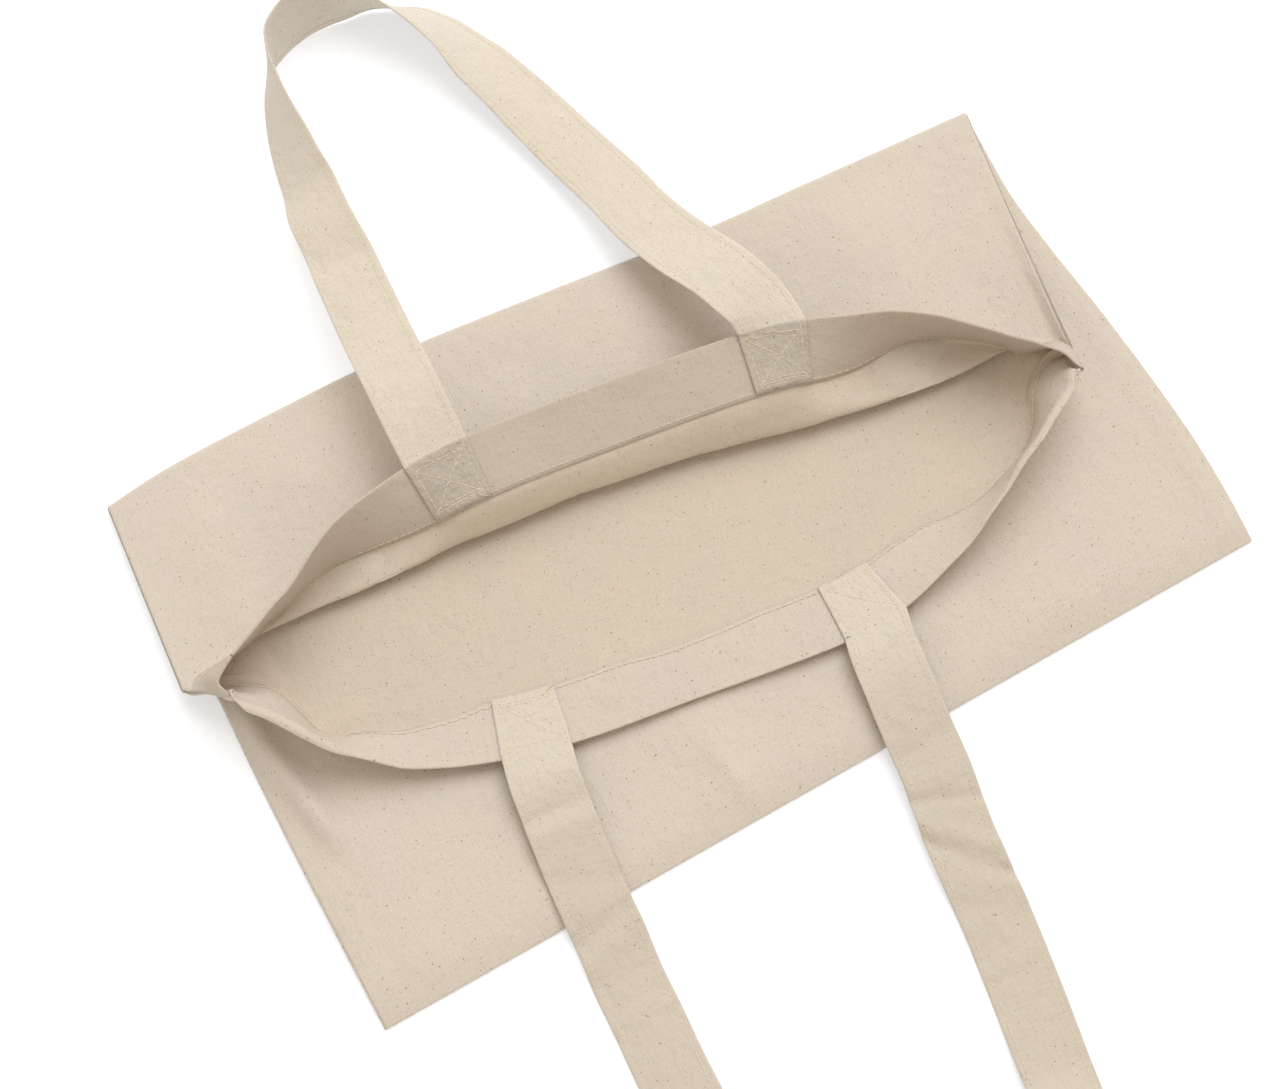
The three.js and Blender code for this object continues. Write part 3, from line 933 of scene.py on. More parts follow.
    def front_held(self, u: float, centre: float, back: list[Row]) -> list[Row]:
        """Front layer down to its fold, drawn in with the back layer toward the side seams.

        Args:
            u: Distance from the left seam.
            centre: The fold's centre, y.
            back: The back layer's rows.

        Returns:
            The rows.
        """
        ahead = self.back_upper(min(u + self.seam_step, BAG_WIDTH))
        before = self.back_upper(min(u, BAG_WIDTH - self.seam_step))
        beside = [a.point + b.point - c.point for a, b, c in zip(ahead, back, before)]
        edge = min(u, BAG_WIDTH - u)
        rows = self.front_upper(u, centre)
        for j, row in enumerate(rows):
            mirror = len(back) - 1 - j
            grown = smooth(self.hem_rows, self.hem_rows + self.grip_rows, j)
            reach = self.hem_reach + (self.seam_reach - self.hem_reach) * grown
            held = self.seam_share(edge, reach)
            if held > 0 and mirror >= 0:
                row.point = row.point.lerp(self.nested(back, beside, mirror), held)
            if u < self.knot_end.start and j < self.near_rows:
                row.point += self.knot(u, HEM * (j / self.hem_rows) ** self.hem_crowding)
        return rows

    def turn(self, x: float, y: float, z: float, radius: float, start: float, sweep: float) -> list[Row]:
        """Rows of a round turn of the cloth, after its first point.

        Args:
            x: Place across the bag.
            y: The turn's centre, y.
            z: The turn's centre, z.
            radius: The turn's radius.
            start: Where it starts, in degrees from +Y toward +Z.
            sweep: How far it turns, in degrees.

        Returns:
            The rows.
        """
        rows = []
        for i in range(1, self.turn_rows + 1):
            a = math.radians(start + sweep * i / self.turn_rows)
            rows.append(Row(Vector((x, y + radius * math.cos(a), z + radius * math.sin(a)))))
        return rows

    def front_low(self, u: float, inner: float, bottom: float) -> list[Row]:
        """Front layer from its fold down to the bottom edge.

        Args:
            u: Distance from the left seam.
            inner: Centre of the front's fold, y.
            bottom: Centre of the bottom's fold, y.

        Returns:
            The rows.
        """
        rows = []
        for i in range(1, self.low_rows + 1):
            y = inner + (bottom - inner) * i / self.low_rows
            x = self.lower_x(u, y)
            rise = self.ridge_lift(Layer.FRONT, x, y) * self.ridges_end.at(y) * self.ridges_start.at(y)
            rise += self.bottom_roll * self.roll_start.at(y) * self.roll_end.at(y)
            free = smooth(inner, inner - self.crease_end, y) * self.low_start.at(y)
            rows.append(Row(Vector((x, y, FRONT_LOW + rise)), free, True))
        return rows

    def back_raised(self, back: list[Row], share: float) -> list[Row]:
        """Lift the soft ridges of the back layer's upper part.

        Args:
            back: The layer's rows, which are moved.
            share: How far the layer is drawn toward the side seam.

        Returns:
            The same rows.
        """
        crease = len(back) - self.hem_rows - self.crease_rows - 1
        for i, row in enumerate(back):
            free = smooth(0, self.rise_rows * self.ridge_in, i)
            free *= smooth(crease, crease - self.rise_rows * self.ridge_out, i)
            row.point.z += self.ridge_lift(Layer.BACK, row.point.x, row.point.y) * free * (1 - share)
        return back

    @staticmethod
    def ridge_lift(layer: Layer, x: float, y: float) -> float:
        """Height of a layer's soft ridges at one place.

        Args:
            layer: The layer.
            x: Place.
            y: Place.

        Returns:
            The height.
        """
        return sum(ridge.lift(x, y) for ridge in RIDGES if ridge.layer is layer)

    def profile(self, u: float) -> list[Row]:
        """One profile of the cloth, from the front rim round the bag to the back rim.

        Args:
            u: Distance from the left seam.

        Returns:
            The rows.
        """
        wide, tight = (BACK_HIGH - BACK_LOW) / 2, (FRONT_HIGH - FRONT_LOW) / 2
        fold = through(FOLD_STATIONS, "fold", u) - SOLID / 2 - wide
        inner = fold - through(FOLD_STATIONS, "short", u)
        bottom = tight + SOLID / 2
        stack, lowest = (FRONT_HIGH + FRONT_LOW) / 2, (FRONT_LOW + BACK_LOW) / 2
        share = self.seam_share(min(u, BAG_WIDTH - u), self.seam_reach)
        back = self.back_upper(u)
        rows = self.front_held(u, inner, back)
        rows += self.turn(self.lower_x(u, inner), inner, stack, tight, 90, -180)
        rows += self.front_low(u, inner, bottom)
        rows += self.turn(self.lower_x(u, 0), bottom, lowest, tight, 90, 180)
        for i in range(1, self.low_rows + 1):
            y = bottom + (fold - bottom) * i / self.low_rows
            rows.append(Row(Vector((self.lower_x(u, y), y, BACK_LOW))))
        rows += self.turn(self.lower_x(u, fold), fold, stack, wide, -90, 180)
        rows += self.back_raised(back, share)
        for row in rows:
            row.free *= 1 - share
            crushed = sum(crush.lift(row.point.x, row.point.y) for crush in CRUSHED)
            row.point.z += self.crush_from.at(row.point.z) * crushed
        return rows

    @staticmethod
    def normals(points: list[list[Vector]]) -> list[list[Vector]]:
        """Directions toward the cloth's inner face.

        Args:
            points: The middle surface, column by column.

        Returns:
            The unit directions, in the same order.
        """
        columns, rows = len(points), len(points[0])
        found = []
        for i, column in enumerate(points):
            left, right = points[max(i - 1, 0)], points[min(i + 1, columns - 1)]
            one = []
            for j in range(rows):
                along = column[min(j + 1, rows - 1)] - column[max(j - 1, 0)]
                one.append((right[j] - left[j]).cross(along).normalized())
            found.append(one)
        return found

    def wave(self, row: Row, u: float, side: Vector) -> None:
        """Move one free point with the cloth's soft waves.

        Args:
            row: The point, which is moved.
            u: Its distance from the left seam.
            side: Direction off the cloth there.
        """
        x, y, down = row.point.x, row.point.y, row.point.y + row.point.z
        wave = self.swell.at(x, y) + self.rumple.at(u, down) + self.crumple.at(u, down)
        if row.resting:
            edge = min(u, BAG_WIDTH - u)
            step = self.side_ridge * self.side_inner.at(edge) * self.side_outer.at(edge)
            row.point.z += row.free * (self.rest_lift + self.rest_wave * wave)
            row.point.z += step * self.side_start.at(y)
        else:
            row.point += side * (row.free * wave)

    def build(self) -> "FoldedCloth":
        """Work out the whole middle surface.

        Returns:
            The cloth itself.
        """
        rows: list[list[Row]] = []
        for i in range(self.columns):
            t = i / (self.columns - 1)
            crowded = self.seam_crowding * math.sin(4 * math.pi * t)
            crowded += self.side_crowding * math.sin(2 * math.pi * t)
            u = BAG_WIDTH * clamp(t - crowded, 0.0, 1.0)
            self.stations.append(u)
            rows.append(self.profile(u))
        self.grid = [[row.point for row in column] for column in rows]
        for u, column, sides in zip(self.stations, rows, self.normals(self.grid)):
            for row, side in zip(column, sides):
                if row.free > 0:
                    self.wave(row, u, side)
        self.inward = self.normals(self.grid)
        return self

    def from_rim(self, i: int, half: Half) -> tuple[list[Vector], list[Vector]]:
        """One column, read from one of its two rims.

        Args:
            i: The column.
            half: Which rim.

        Returns:
            Its points, and the directions toward the inner face.
        """
        order = slice(None) if half is Half.FRONT else slice(None, None, -1)
        return self.grid[i][order], self.inward[i][order]


@dataclass
class HemFace:
    """Reads places on one hem by the distance along the mouth and from the rim."""

    cloth: FoldedCloth
    half: Half

    def at(self, u: float, depth: float, lift: float) -> Spot:
        """One place on the hem.

        Args:
            u: Distance from the left seam.
            depth: Distance from the rim, down the hem.
            lift: Height over the cloth's middle surface, toward the inner face.

        Returns:
            The place, and the direction toward the inner face.
        """
        i, t = between(self.cloth.stations, u)
        a, na = self.down(i, depth)
        b, nb = self.down(i + 1, depth)
        side = na.lerp(nb, t).normalized()
        return a.lerp(b, t) + side * lift, side

    def edge(self, u: float) -> float:
        """Width of the turned-in hem.

        Args:
            u: Distance from the left seam.

        Returns:
            The width.
        """
        i, _ = between(self.cloth.stations, u)
        rows, _ = self.cloth.from_rim(i, self.half)
        return sum((b - a).length for a, b in zip(rows, rows[1 : self.cloth.hem_rows]))

    def down(self, i: int, depth: float) -> Spot:
        """One place in a single column of the hem.

        Args:
            i: The column.
            depth: Distance from the rim.

        Returns:
            The place, and the direction toward the inner face.
        """
        points, sides = self.cloth.from_rim(i, self.half)
        k, done = 0, 0.0
        step = (points[1] - points[0]).length
        while done + step < depth and k < self.cloth.near_rows - 1:
            done += step
            k += 1
            step = (points[k + 1] - points[k]).length
        t = (depth - done) / step
        side = sides[k].lerp(sides[k + 1], clamp(t, 0.0, 1.0))
        return points[k] + (points[k + 1] - points[k]) * t, side


def set_flat_coordinates(bm: bmesh.types.BMesh, flat: dict[int, tuple[float, float]]) -> None:
    """Give every corner its place on the flat cloth, in metres, as UV.

    Args:
        bm: The mesh.
        flat: The place of each vertex in millimetres, by its index.
    """
    layer = bm.loops.layers.uv.new("flat")
    for face in bm.faces:
        for loop in face.loops:
            x, y = flat[loop.vert.index]
            loop[layer].uv = (x * MILLIMETRE, y * MILLIMETRE)


def grid_vertices(bm: bmesh.types.BMesh, columns: int, rows: int) -> list[bmesh.types.BMVert]:
    """Make a grid.

    Args:
        bm: The mesh that it goes into.
        columns: Number of columns of vertices.
        rows: Number of rows of vertices.

    Returns:
        The vertices, column by column.
    """
    made = bmesh.ops.create_grid(bm, x_segments=columns - 1, y_segments=rows - 1, size=1.0)
    digits = 5
    return sorted(made["verts"], key=lambda v: (round(v.co.x, digits), round(v.co.y, digits)))


def make_object(name: str, bm: bmesh.types.BMesh, *materials: bpy.types.Material) -> bpy.types.Object:
    """Turn a mesh into an object of the scene.

    Args:
        name: The object's name.
        bm: The mesh, which is freed.
        materials: Its finishes, the main one first.

    Returns:
        The object.
    """
    for face in bm.faces:
        face.smooth = True
    mesh = bpy.data.meshes.new(name)
    bm.to_mesh(mesh)
    bm.free()
    for material in materials:
        mesh.materials.append(material)
    made = bpy.data.objects.new(name, mesh)
    bpy.context.scene.collection.objects.link(made)
    return made


@dataclass
class BagBody:
    """The bag's cloth: one sheet, hemmed at both rims and sewn up at both sides."""

    cloth: FoldedCloth
    thickness: float = 0.6
    hem_step: float = 0.66
    rim_rows: int = 5
    flat_step: float = 0.05
    seam_inset: float = 1.2
    seam_bulge: float = 0.45
    front_merge: float = 0.8
    edge_sink: float = 0.4
    sink_rows: int = 4
    full_hem: Ramp = Ramp(0, 16)
    inset_near: Ramp = Ramp(4, 0)
    merge_near: Ramp = Ramp(75, 40)

    def hem_inner(self, i: int, half: Half) -> list[Vector]:
        """Rows of the turned-in hem in one column, from the rim's turn to the hem's edge.

        Args:
            i: The column.
            half: Which hem.

        Returns:
            The points.
        """
        column, sides = self.cloth.from_rim(i, half)
        before, _ = self.cloth.from_rim(max(i - 1, 0), half)
        after, _ = self.cloth.from_rim(min(i + 1, self.cloth.columns - 1), half)
        u = self.cloth.stations[i]
        seam = min(u, BAG_WIDTH - u)
        step = self.hem_step * (1 + self.full_hem.at(seam)) / 2
        inset = self.seam_inset * self.inset_near.at(seam) * (1 if u < BAG_WIDTH / 2 else -1)
        sink = self.edge_sink
        if half is Half.FRONT:
            sink += self.front_merge * self.merge_near.at(seam)
        outward = (column[0] - column[1]).normalized()
        points = []
        for k in range(1, self.rim_rows + 1):
            a = math.pi * k / (self.rim_rows + 1)
            middle = column[0] + sides[0] * (step / 2 * (1 - math.cos(a)))
            points.append(middle + outward * (step / 2 * math.sin(a)))
        last = self.cloth.hem_rows - 1
        for k in range(self.cloth.hem_rows):
            across = (after[k] - before[k]).normalized()
            height = step * (1 - sink * smooth(last - self.sink_rows, last, k))
            points.append(column[k] + sides[k] * height + across * inset)
        return points

    def build(self, material: bpy.types.Material, inside: bpy.types.Material) -> bpy.types.Object:
        """Make the cloth's mesh.

        Args:
            material: Its finish outside the bag.
            inside: Its finish on the face inside the bag, painted darker and warmer as painted shade.

        Returns:
            The object.
        """
        columns, flats = [], []
        for i, column in enumerate(self.cloth.grid):
            front = self.hem_inner(i, Half.FRONT)
            columns.append(front[::-1] + column + self.hem_inner(i, Half.BACK))
            flats.append(self.flat_lengths(column))
        bm = bmesh.new()
        flat = bm.verts.layers.float_vector.new("flat_place")
        rows = len(columns[0])
        order = grid_vertices(bm, len(columns), rows)
        for n, vert in enumerate(order):
            i, j = divmod(n, rows)
            vert.co = frame_place(columns[i][j])
            vert[flat] = (self.cloth.stations[i], flats[i][j], 0.0)
        self.sew_sides(bm, [order[:rows], order[-rows:]], flat)
        bmesh.ops.recalc_face_normals(bm, faces=bm.faces)
        bm.verts.index_update()
        set_flat_coordinates(bm, {v.index: (v[flat].x, v[flat].y) for v in bm.verts})
        bm.verts.layers.float_vector.remove(flat)
        made = make_object("cotton_body", bm, material, inside)
        solid = made.modifiers.new("thickness", "SOLIDIFY")
        solid.thickness = self.thickness * MILLIMETRE
        solid.offset = 0.0
        solid.material_offset = 1
        return made

    def flat_lengths(self, column: list[Vector]) -> list[float]:
        """Places along the flat cloth of one column's rows, from the front hem's edge.

        Args:
            column: The points from rim to rim.

        Returns:
            The lengths, turned-in hems included.
        """
        half = len(column) // 2
        steps = [(b - a).length for a, b in zip(column, column[1:])]
        front = list(accumulate(steps[: half - 1], initial=0.0))
        back = list(accumulate(reversed(steps[half:]), initial=0.0))
        rest = steps[half - 1] / 2
        end = HEM + 2 * PANEL
        first = [HEM + d * PANEL / (front[-1] + rest) for d in front]
        second = [end - d * PANEL / (back[-1] + rest) for d in reversed(back)]
        turn = [self.flat_step * k for k in range(1, self.rim_rows + 1)]
        inner = self.flat_step * (self.rim_rows + 1)
        rows = self.cloth.hem_rows
        starts = [HEM - inner - d for d in reversed(front[:rows])] + [HEM - d for d in reversed(turn)]
        stops = [end + d for d in turn] + [end + inner + d for d in back[:rows]]
        return starts + first + second + stops

    def sew_sides(
        self,
        bm: bmesh.types.BMesh,
        sides: list[list[bmesh.types.BMVert]],
        flat: bmesh.types.BMLayerItem,
    ) -> None:
        """Join the front's and the back's edge with a rounded strip, at both sides.

        Args:
            bm: The mesh.
            sides: The vertices of each whole side edge, from hem to hem.
            flat: The layer with each vertex's place on the flat cloth.
        """
        rungs = []
        for edge in sides:
            half = len(edge) // 2
            pairs = [*zip(edge[: half - 1], edge[1:half]), *zip(edge[half:], edge[half + 1 :])]
            chain = [bm.edges.get(pair) for pair in pairs]
            bridged = bmesh.ops.bridge_loops(bm, edges=chain)
            known, ends = set(chain), set(edge)
            found = [e for f in bridged["faces"] for e in f.edges]
            rungs += [e for e in found if e not in known and ends.issuperset(e.verts)]
        cut = bmesh.ops.subdivide_edges(bm, edges=list(dict.fromkeys(rungs)), cuts=1)
        new = {v for v in cut["geom_inner"] if isinstance(v, bmesh.types.BMVert)}
        for vert in new:
            others = (e.other_vert(vert) for e in vert.link_edges)
            a, b = [other for other in others if other not in new][:2]
            vert[flat] = a[flat]
            bulge = min(self.seam_bulge * MILLIMETRE, (a.co - b.co).length / 2)
            vert.co.x += bulge if a[flat].x > BAG_WIDTH / 2 else -bulge


@dataclass
class Section:
    """One cross-section of a handle."""

    middle: Vector
    across: Vector
    normal: Vector
    along: float = 0.0
    bend: Callable[[float], Vector] = lambda a: Vector((0.0, 0.0, 0.0))

    def place(self, a: float) -> Vector:
        """Middle of the strap at one place across it."""
        return self.middle + self.across * a + self.bend(a)


@dataclass
class Handle:
    """One strap handle: sewn end, free loop, sewn end."""

    name: str
    cloth: FoldedCloth
    half: Half
    path: Sequence[PathPoint]
    waves: Sequence[StrapWave]
    seed: float
    thickness: float = 1.2
    spacing: float = 1.8
    sewn: float = 26.6
    sewn_rows: int = 12
    lift: float = 1.75
    floor_gap: float = 0.15
    tangent_step: float = 0.01
    lean_rounds: int = 2
    hold_on: Ramp = Ramp(22, 0)
    let_go: Ramp = Ramp(0, 30)
    resting: Ramp = Ramp(3.5, 1.5)
    resting_lift: float = 0.3
    cup: Waves = Waves(0.5, 70, 0)
    sway: Waves = Waves(0.5, 48, 4)
    sway_line: float = 9.0
    sway_aside: float = 0.25
    edge: Waves = Waves(0.35, 19, 2)
    edge_skew: float = 1.5
    sections: list[Section] = field(default_factory=list)

    @property
    def length(self) -> float:
        """Length of the whole strap."""
        return self.sections[-1].along

    def roots(self) -> tuple[float, float]:
        """Distances of the two sewn ends' middles from the left seam."""
        first = BAG_WIDTH / 2 - STRAP_SPACING / 2
        return first, first + STRAP_SPACING

    def sewn_stations(self, u: float) -> list[Section]:
        """Stations of a sewn end on the inner face of the hem, up to the rim.

        Args:
            u: Middle of the strap along the mouth.

        Returns:
            The stations.
        """
        hem = HemFace(self.cloth, self.half)
        stations = []
        for k in range(self.sewn_rows + 1):
            depth = self.sewn * (1 - k / self.sewn_rows)
            middle, _ = hem.at(u, depth, self.lift)
            left, _ = hem.at(u - STRAP_WIDTH / 2, depth, self.lift)
            right, _ = hem.at(u + STRAP_WIDTH / 2, depth, self.lift)
            stations.append(Section(middle, (right - left).normalized(), Vector((0, 0, 1))))
        return stations

    def free_stations(self) -> list[Section]:
        """Stations of the free loop, whose width points into the loop where it is level.

        Returns:
            The stations.
        """
        centre = sum((Vector((p.x, p.y, 0.0)) for p in self.path), Vector()) / len(self.path)
        stations = []
        for k, p in enumerate(self.path):
            before, after = self.path[max(k - 1, 0)], self.path[min(k + 1, len(self.path) - 1)]
            side = Vector((-(after.y - before.y), after.x - before.x, 0.0)).normalized()
            middle = Vector((p.x, p.y, p.z))
            if side.xy.dot((centre - middle).xy) < 0:
                side.negate()
            lean = math.radians(p.lean)
            across = side * math.cos(lean)
            across.z = math.sin(lean)
            stations.append(Section(middle, across, Vector((0, 0, 1))))
        return stations

    def keys(self) -> list[Section]:
        """Stations of the whole handle, with the free loop's lean evened out.

        Returns:
            The stations.
        """
        left, right = self.roots()
        first, last = self.sewn_stations(left), self.sewn_stations(right)[::-1]
        keys = [*first, *self.free_stations(), *last]
        for a, b in zip(keys, keys[1:]):
            if b.across.dot(a.across) < 0:
                b.across.negate()
        for _ in range(self.lean_rounds):
            was = [k.across.copy() for k in keys]
            for k in range(len(first), len(keys) - len(last)):
                keys[k].across = (keys[k].across * 2 + was[k - 1] + was[k + 1]).normalized()
        return keys

    @staticmethod
    def curve_point(points: Sequence[Vector], k: int, w: float) -> Vector:
        """Point of a centripetal curve through the stations.

        Args:
            points: The stations' middles.
            k: Which stretch.
            w: Share of the way along it.

        Returns:
            The point.
        """
        last = len(points) - 1
        b, c = points[k], points[k + 1]
        a = points[k - 1] if k > 0 else b * 2 - c
        d = points[k + 2] if k + 2 <= last else c * 2 - b
        ab, bc, cd = (math.sqrt(max((q - p).length, TINY)) for p, q in ((a, b), (b, c), (c, d)))
        tb = ((b - a) / ab - (c - a) / (ab + bc) + (c - b) / bc) * bc
        tc = ((c - b) / bc - (d - b) / (bc + cd) + (d - c) / cd) * bc
        return hermite(b, c, tb, tc, w)

    def follow_hem(self, u: float, depth: float, flip: float, section: Section) -> Callable[[float], Vector]:
        """How far the strap bends from straight, to follow the hem under it.

        Args:
            u: Middle of the strap along the mouth.
            depth: Distance from the rim.
            flip: -1 where the strap's width runs against the mouth.
            section: The straight section.

        Returns:
            A function from the place across the strap to the bend there.
        """
        hem = HemFace(self.cloth, self.half)
        table = []
        for share in SHARES:
            a = share * STRAP_WIDTH
            place, _ = hem.at(u + a * flip, depth, self.lift)
            table.append(place - (section.middle + section.across * a))

        def bend(a: float) -> Vector:
            """Bend at one place across the strap.

            Args:
                a: The place.

            Returns:
                The offset from the straight section.
            """
            k, t = between(SHARES, a / STRAP_WIDTH)
            return table[k].lerp(table[k + 1], t)

        return bend

    def lay(self) -> "Handle":
        """Work out all cross-sections.

        Returns:
            The handle itself.
        """
        keys = self.keys()
        middles = [k.middle for k in keys]
        for k in range(len(keys) - 1):
            gap = (middles[k + 1] - middles[k]).length
            pieces = max(1, round(gap / self.spacing))
            for i in range(pieces + (1 if k == len(keys) - 2 else 0)):
                w = i / pieces
                middle = self.curve_point(middles, k, w)
                before = self.curve_point(middles, k, max(w - self.tangent_step, 0.0))
                after = self.curve_point(middles, k, min(w + self.tangent_step, 1.0))
                along = (after - before).normalized()
                across = keys[k].across.lerp(keys[k + 1].across, w)
                across = (across - along * across.dot(along)).normalized()
                self.sections.append(Section(middle, across, across.cross(along)))
        for a, b in zip(self.sections, self.sections[1:]):
            b.along = a.along + (b.middle - a.middle).length
        self.settle()
        return self

    def settle(self) -> None:
        """Lay the ends on the hem, wave the free part, and keep it above the floor."""
        first = [s for s in self.sections if s.along <= self.sewn]
        last = [s for s in self.sections if self.length - s.along <= self.sewn]
        left, right = self.roots()
        for s in first:
            s.bend = self.follow_hem(left, self.sewn - s.along, 1.0, s)
        for s in last:
            s.bend = self.follow_hem(right, self.sewn - (self.length - s.along), -1.0, s)
        for s in self.sections[len(first) : -len(last)]:
            s.bend = self.free_bend(s, first[-1].bend if s.along < self.length / 2 else last[0].bend)
            reach = STRAP_WIDTH * abs(s.across.z) + self.thickness * FULLEST * abs(s.normal.z)
            s.middle.z = max(s.middle.z, reach / 2 + self.floor_gap)

    def free_bend(self, s: Section, carried: Callable[[float], Vector]) -> Callable[[float], Vector]:
        """How far the free part bends from straight.

        Args:
            s: The section.
            carried: Bend of the sewn end beside it.

        Returns:
            A function from the place across the strap to the bend there.
        """
        along = s.along
        free = min(along, self.length - along) - self.sewn
        held, loose = self.hold_on.at(free), self.let_go.at(free)
        cup = self.cup.at(along, 0.0, self.seed)
        sway = self.sway.at(along, self.sway_line, self.seed)
        resting = self.resting.at(s.middle.z)

        def bend(a: float) -> Vector:
            """Bend at one place across the strap.

            Args:
                a: The place.

            Returns:
                The offset from the straight section.
            """
            t = 2 * a / STRAP_WIDTH
            edge = self.edge.at(along, a * self.edge_skew, self.seed) * t * t
            up = (cup * (0.5 - t * t) + sway + edge) * (1 - resting)
            up += self.resting_lift * resting * (1 + edge)
            up += sum(wave.lift(along + wave.skew * a) for wave in self.waves)
            offset = carried(a) * held + s.normal * (up * loose)
            offset += s.across * (self.sway_aside * sway * loose)
            lowest = self.thickness * FULLEST / 2 + self.floor_gap - s.middle.z - a * s.across.z
            offset.z = max(offset.z, lowest)
            return offset

        return bend

    def face_place(self, along: float, a: float, top: float) -> Spot:
        """One place on the strap.

        Args:
            along: Distance from the strap's first end.
            a: Place across it, counted from its middle.
            top: 1 for one face, -1 for the other.

        Returns:
            The place on the face, and the direction off it.
        """
        k, t = between([s.along for s in self.sections], along)
        p, q = self.sections[k], self.sections[k + 1]
        side = p.normal.lerp(q.normal, t).normalized() * top
        i, w = between(SHARES, a / STRAP_WIDTH)
        full = PROFILE[i].full * (1 - w) + PROFILE[i + 1].full * w
        return p.place(a).lerp(q.place(a), t) + side * (self.thickness / 2 * full), side

    def build(self, material: bpy.types.Material) -> bpy.types.Object:
        """Make the strap's mesh, a flat closed band.

        Args:
            material: Its finish.

        Returns:
            The object.
        """
        around = [(p.share, -p.full) for p in PROFILE] + [(p.share, p.full) for p in reversed(PROFILE)]
        around.append(around[0])
        bm = bmesh.new()
        flat = {}
        for n, vert in enumerate(grid_vertices(bm, len(self.sections), len(around))):
            i, q = divmod(n, len(around))
            s = self.sections[i]
            share, full = around[q]
            a = share * STRAP_WIDTH
            vert.co = frame_place(s.place(a) + s.normal * (full * self.thickness / 2))
            flat[vert] = (a + STRAP_WIDTH / 2, s.along)
        bm.verts.index_update()
        set_flat_coordinates(bm, {vert.index: place for vert, place in flat.items()})
        bmesh.ops.remove_doubles(bm, verts=bm.verts, dist=TINY)
        bmesh.ops.holes_fill(bm, edges=[e for e in bm.edges if e.is_boundary])
        bmesh.ops.recalc_face_normals(bm, faces=bm.faces)
        return make_object(self.name, bm, material)


@dataclass(frozen=True)
class StitchRing:
    """A ring of a stitch: where along it, and its size as a share of the thread's radius."""

    share: float
    size: float
    rise: float = 0.55
    sunk: float = 0.25

    def placed(self) -> Matrix:
        """Matrix that brings a ring of radius 1 round the X axis to its place and size."""
        place = Matrix.Translation((self.share, 0.0, self.rise * self.size - self.sunk))
        return place @ Matrix.Scale(self.size, 4)


STITCH_RINGS = (StitchRing(0.0, 0.45), StitchRing(0.16, 1.0), StitchRing(0.84, 1.0), StitchRing(1.0, 0.45))


@dataclass(frozen=True)
class Stitch:
    """One stitch: its two ends, the direction off the cloth, and the thread's radius."""

    start: Vector
    end: Vector
    up: Vector
    radius: float

    def placed(self) -> Matrix:
        """Matrix that brings a stitch of length and radius 1 along the X axis to its place.

        Returns:
            The matrix.
        """
        along = self.end - self.start
        across = along.cross(self.up).normalized()
        over = across.cross(along.normalized())
        columns = (along, across * self.radius, over * self.radius)
        turned = Matrix([axis * MILLIMETRE for axis in columns]).transposed().to_4x4()
        return Matrix.Translation(frame_place(self.start)) @ turned


@dataclass
class Threads:
    """Sewing thread that lies on the cloth, gathered into one piece."""

    name: str
    radius: float = 0.19
    loose_radius: float = 0.16
    stitch: float = 2.5
    gap: float = 0.55
    lead: float = 0.1
    shortest: float = 1e-4
    sides: int = 5
    loose_steps: int = 8
    stitches: list[Stitch] = field(default_factory=list)

    def run(self, place: Callable[[float], Spot], length: float) -> None:
        """Add a row of stitches.

        Args:
            place: Gives the place and the direction off the cloth, at a distance.
            length: Length of the row.
        """
        pitch = self.stitch + self.gap
        count = max(1, int(length / pitch))
        for k in range(count):
            start = (k + self.lead) * length / count
            end = start + self.stitch * length / (count * pitch)
            (a, na), (b, nb) = place(start), place(end)
            self.stitches.append(Stitch(a, b, (na + nb).normalized(), self.radius))

    def loose(self, points: Sequence[Vector], up: Vector) -> None:
        """Add a loose end of thread.

        Args:
            points: The points it passes.
            up: Direction off the cloth.
        """
        fine = []
        for k in range(len(points) - 1):
            fine += [Handle.curve_point(points, k, i / self.loose_steps) for i in range(self.loose_steps)]
        fine.append(points[-1])
        self.stitches += [Stitch(a, b, up, self.loose_radius) for a, b in zip(fine, fine[1:])]

    def one_stitch(self) -> bpy.types.Mesh:
        """Make a stitch of length and radius 1 along the X axis, its ends drawn in.

        Returns:
            The mesh.
        """
        bm = bmesh.new()
        quarter = Matrix.Rotation(math.pi / 2, 4, "Y")
        made = bmesh.ops.create_circle(bm, cap_ends=True, segments=self.sides, radius=1.0, matrix=quarter)
        ring, edges, was = made["verts"], list(bm.edges), Matrix.Identity(4)
        for step, goal in enumerate(STITCH_RINGS):
            if step:
                grown = bmesh.ops.extrude_edge_only(bm, edges=edges)["geom"]
                ring = [g for g in grown if isinstance(g, bmesh.types.BMVert)]
                edges = [g for g in grown if isinstance(g, bmesh.types.BMEdge) and g.is_boundary]
            bmesh.ops.transform(bm, matrix=goal.placed() @ was.inverted(), verts=ring)
            was = goal.placed()
        bmesh.ops.holes_fill(bm, edges=edges)
        mesh = bpy.data.meshes.new("stitch")
        bm.to_mesh(mesh)
        bm.free()
        return mesh

    def build(self, material: bpy.types.Material) -> bpy.types.Object:
        """Make the mesh of all stitches.

        Args:
            material: Its finish.

        Returns:
            The object.
        """
        one = self.one_stitch()
        bm = bmesh.new()
        for stitch in self.stitches:
            if (stitch.end - stitch.start).length < self.shortest:
                continue
            placed = one.copy()
            placed.transform(stitch.placed())
            bm.from_mesh(placed)
            bpy.data.meshes.remove(placed)
        bpy.data.meshes.remove(one)
        bmesh.ops.recalc_face_normals(bm, faces=bm.faces)
        return make_object(self.name, bm, material)


Number = Union[float, "Value"]


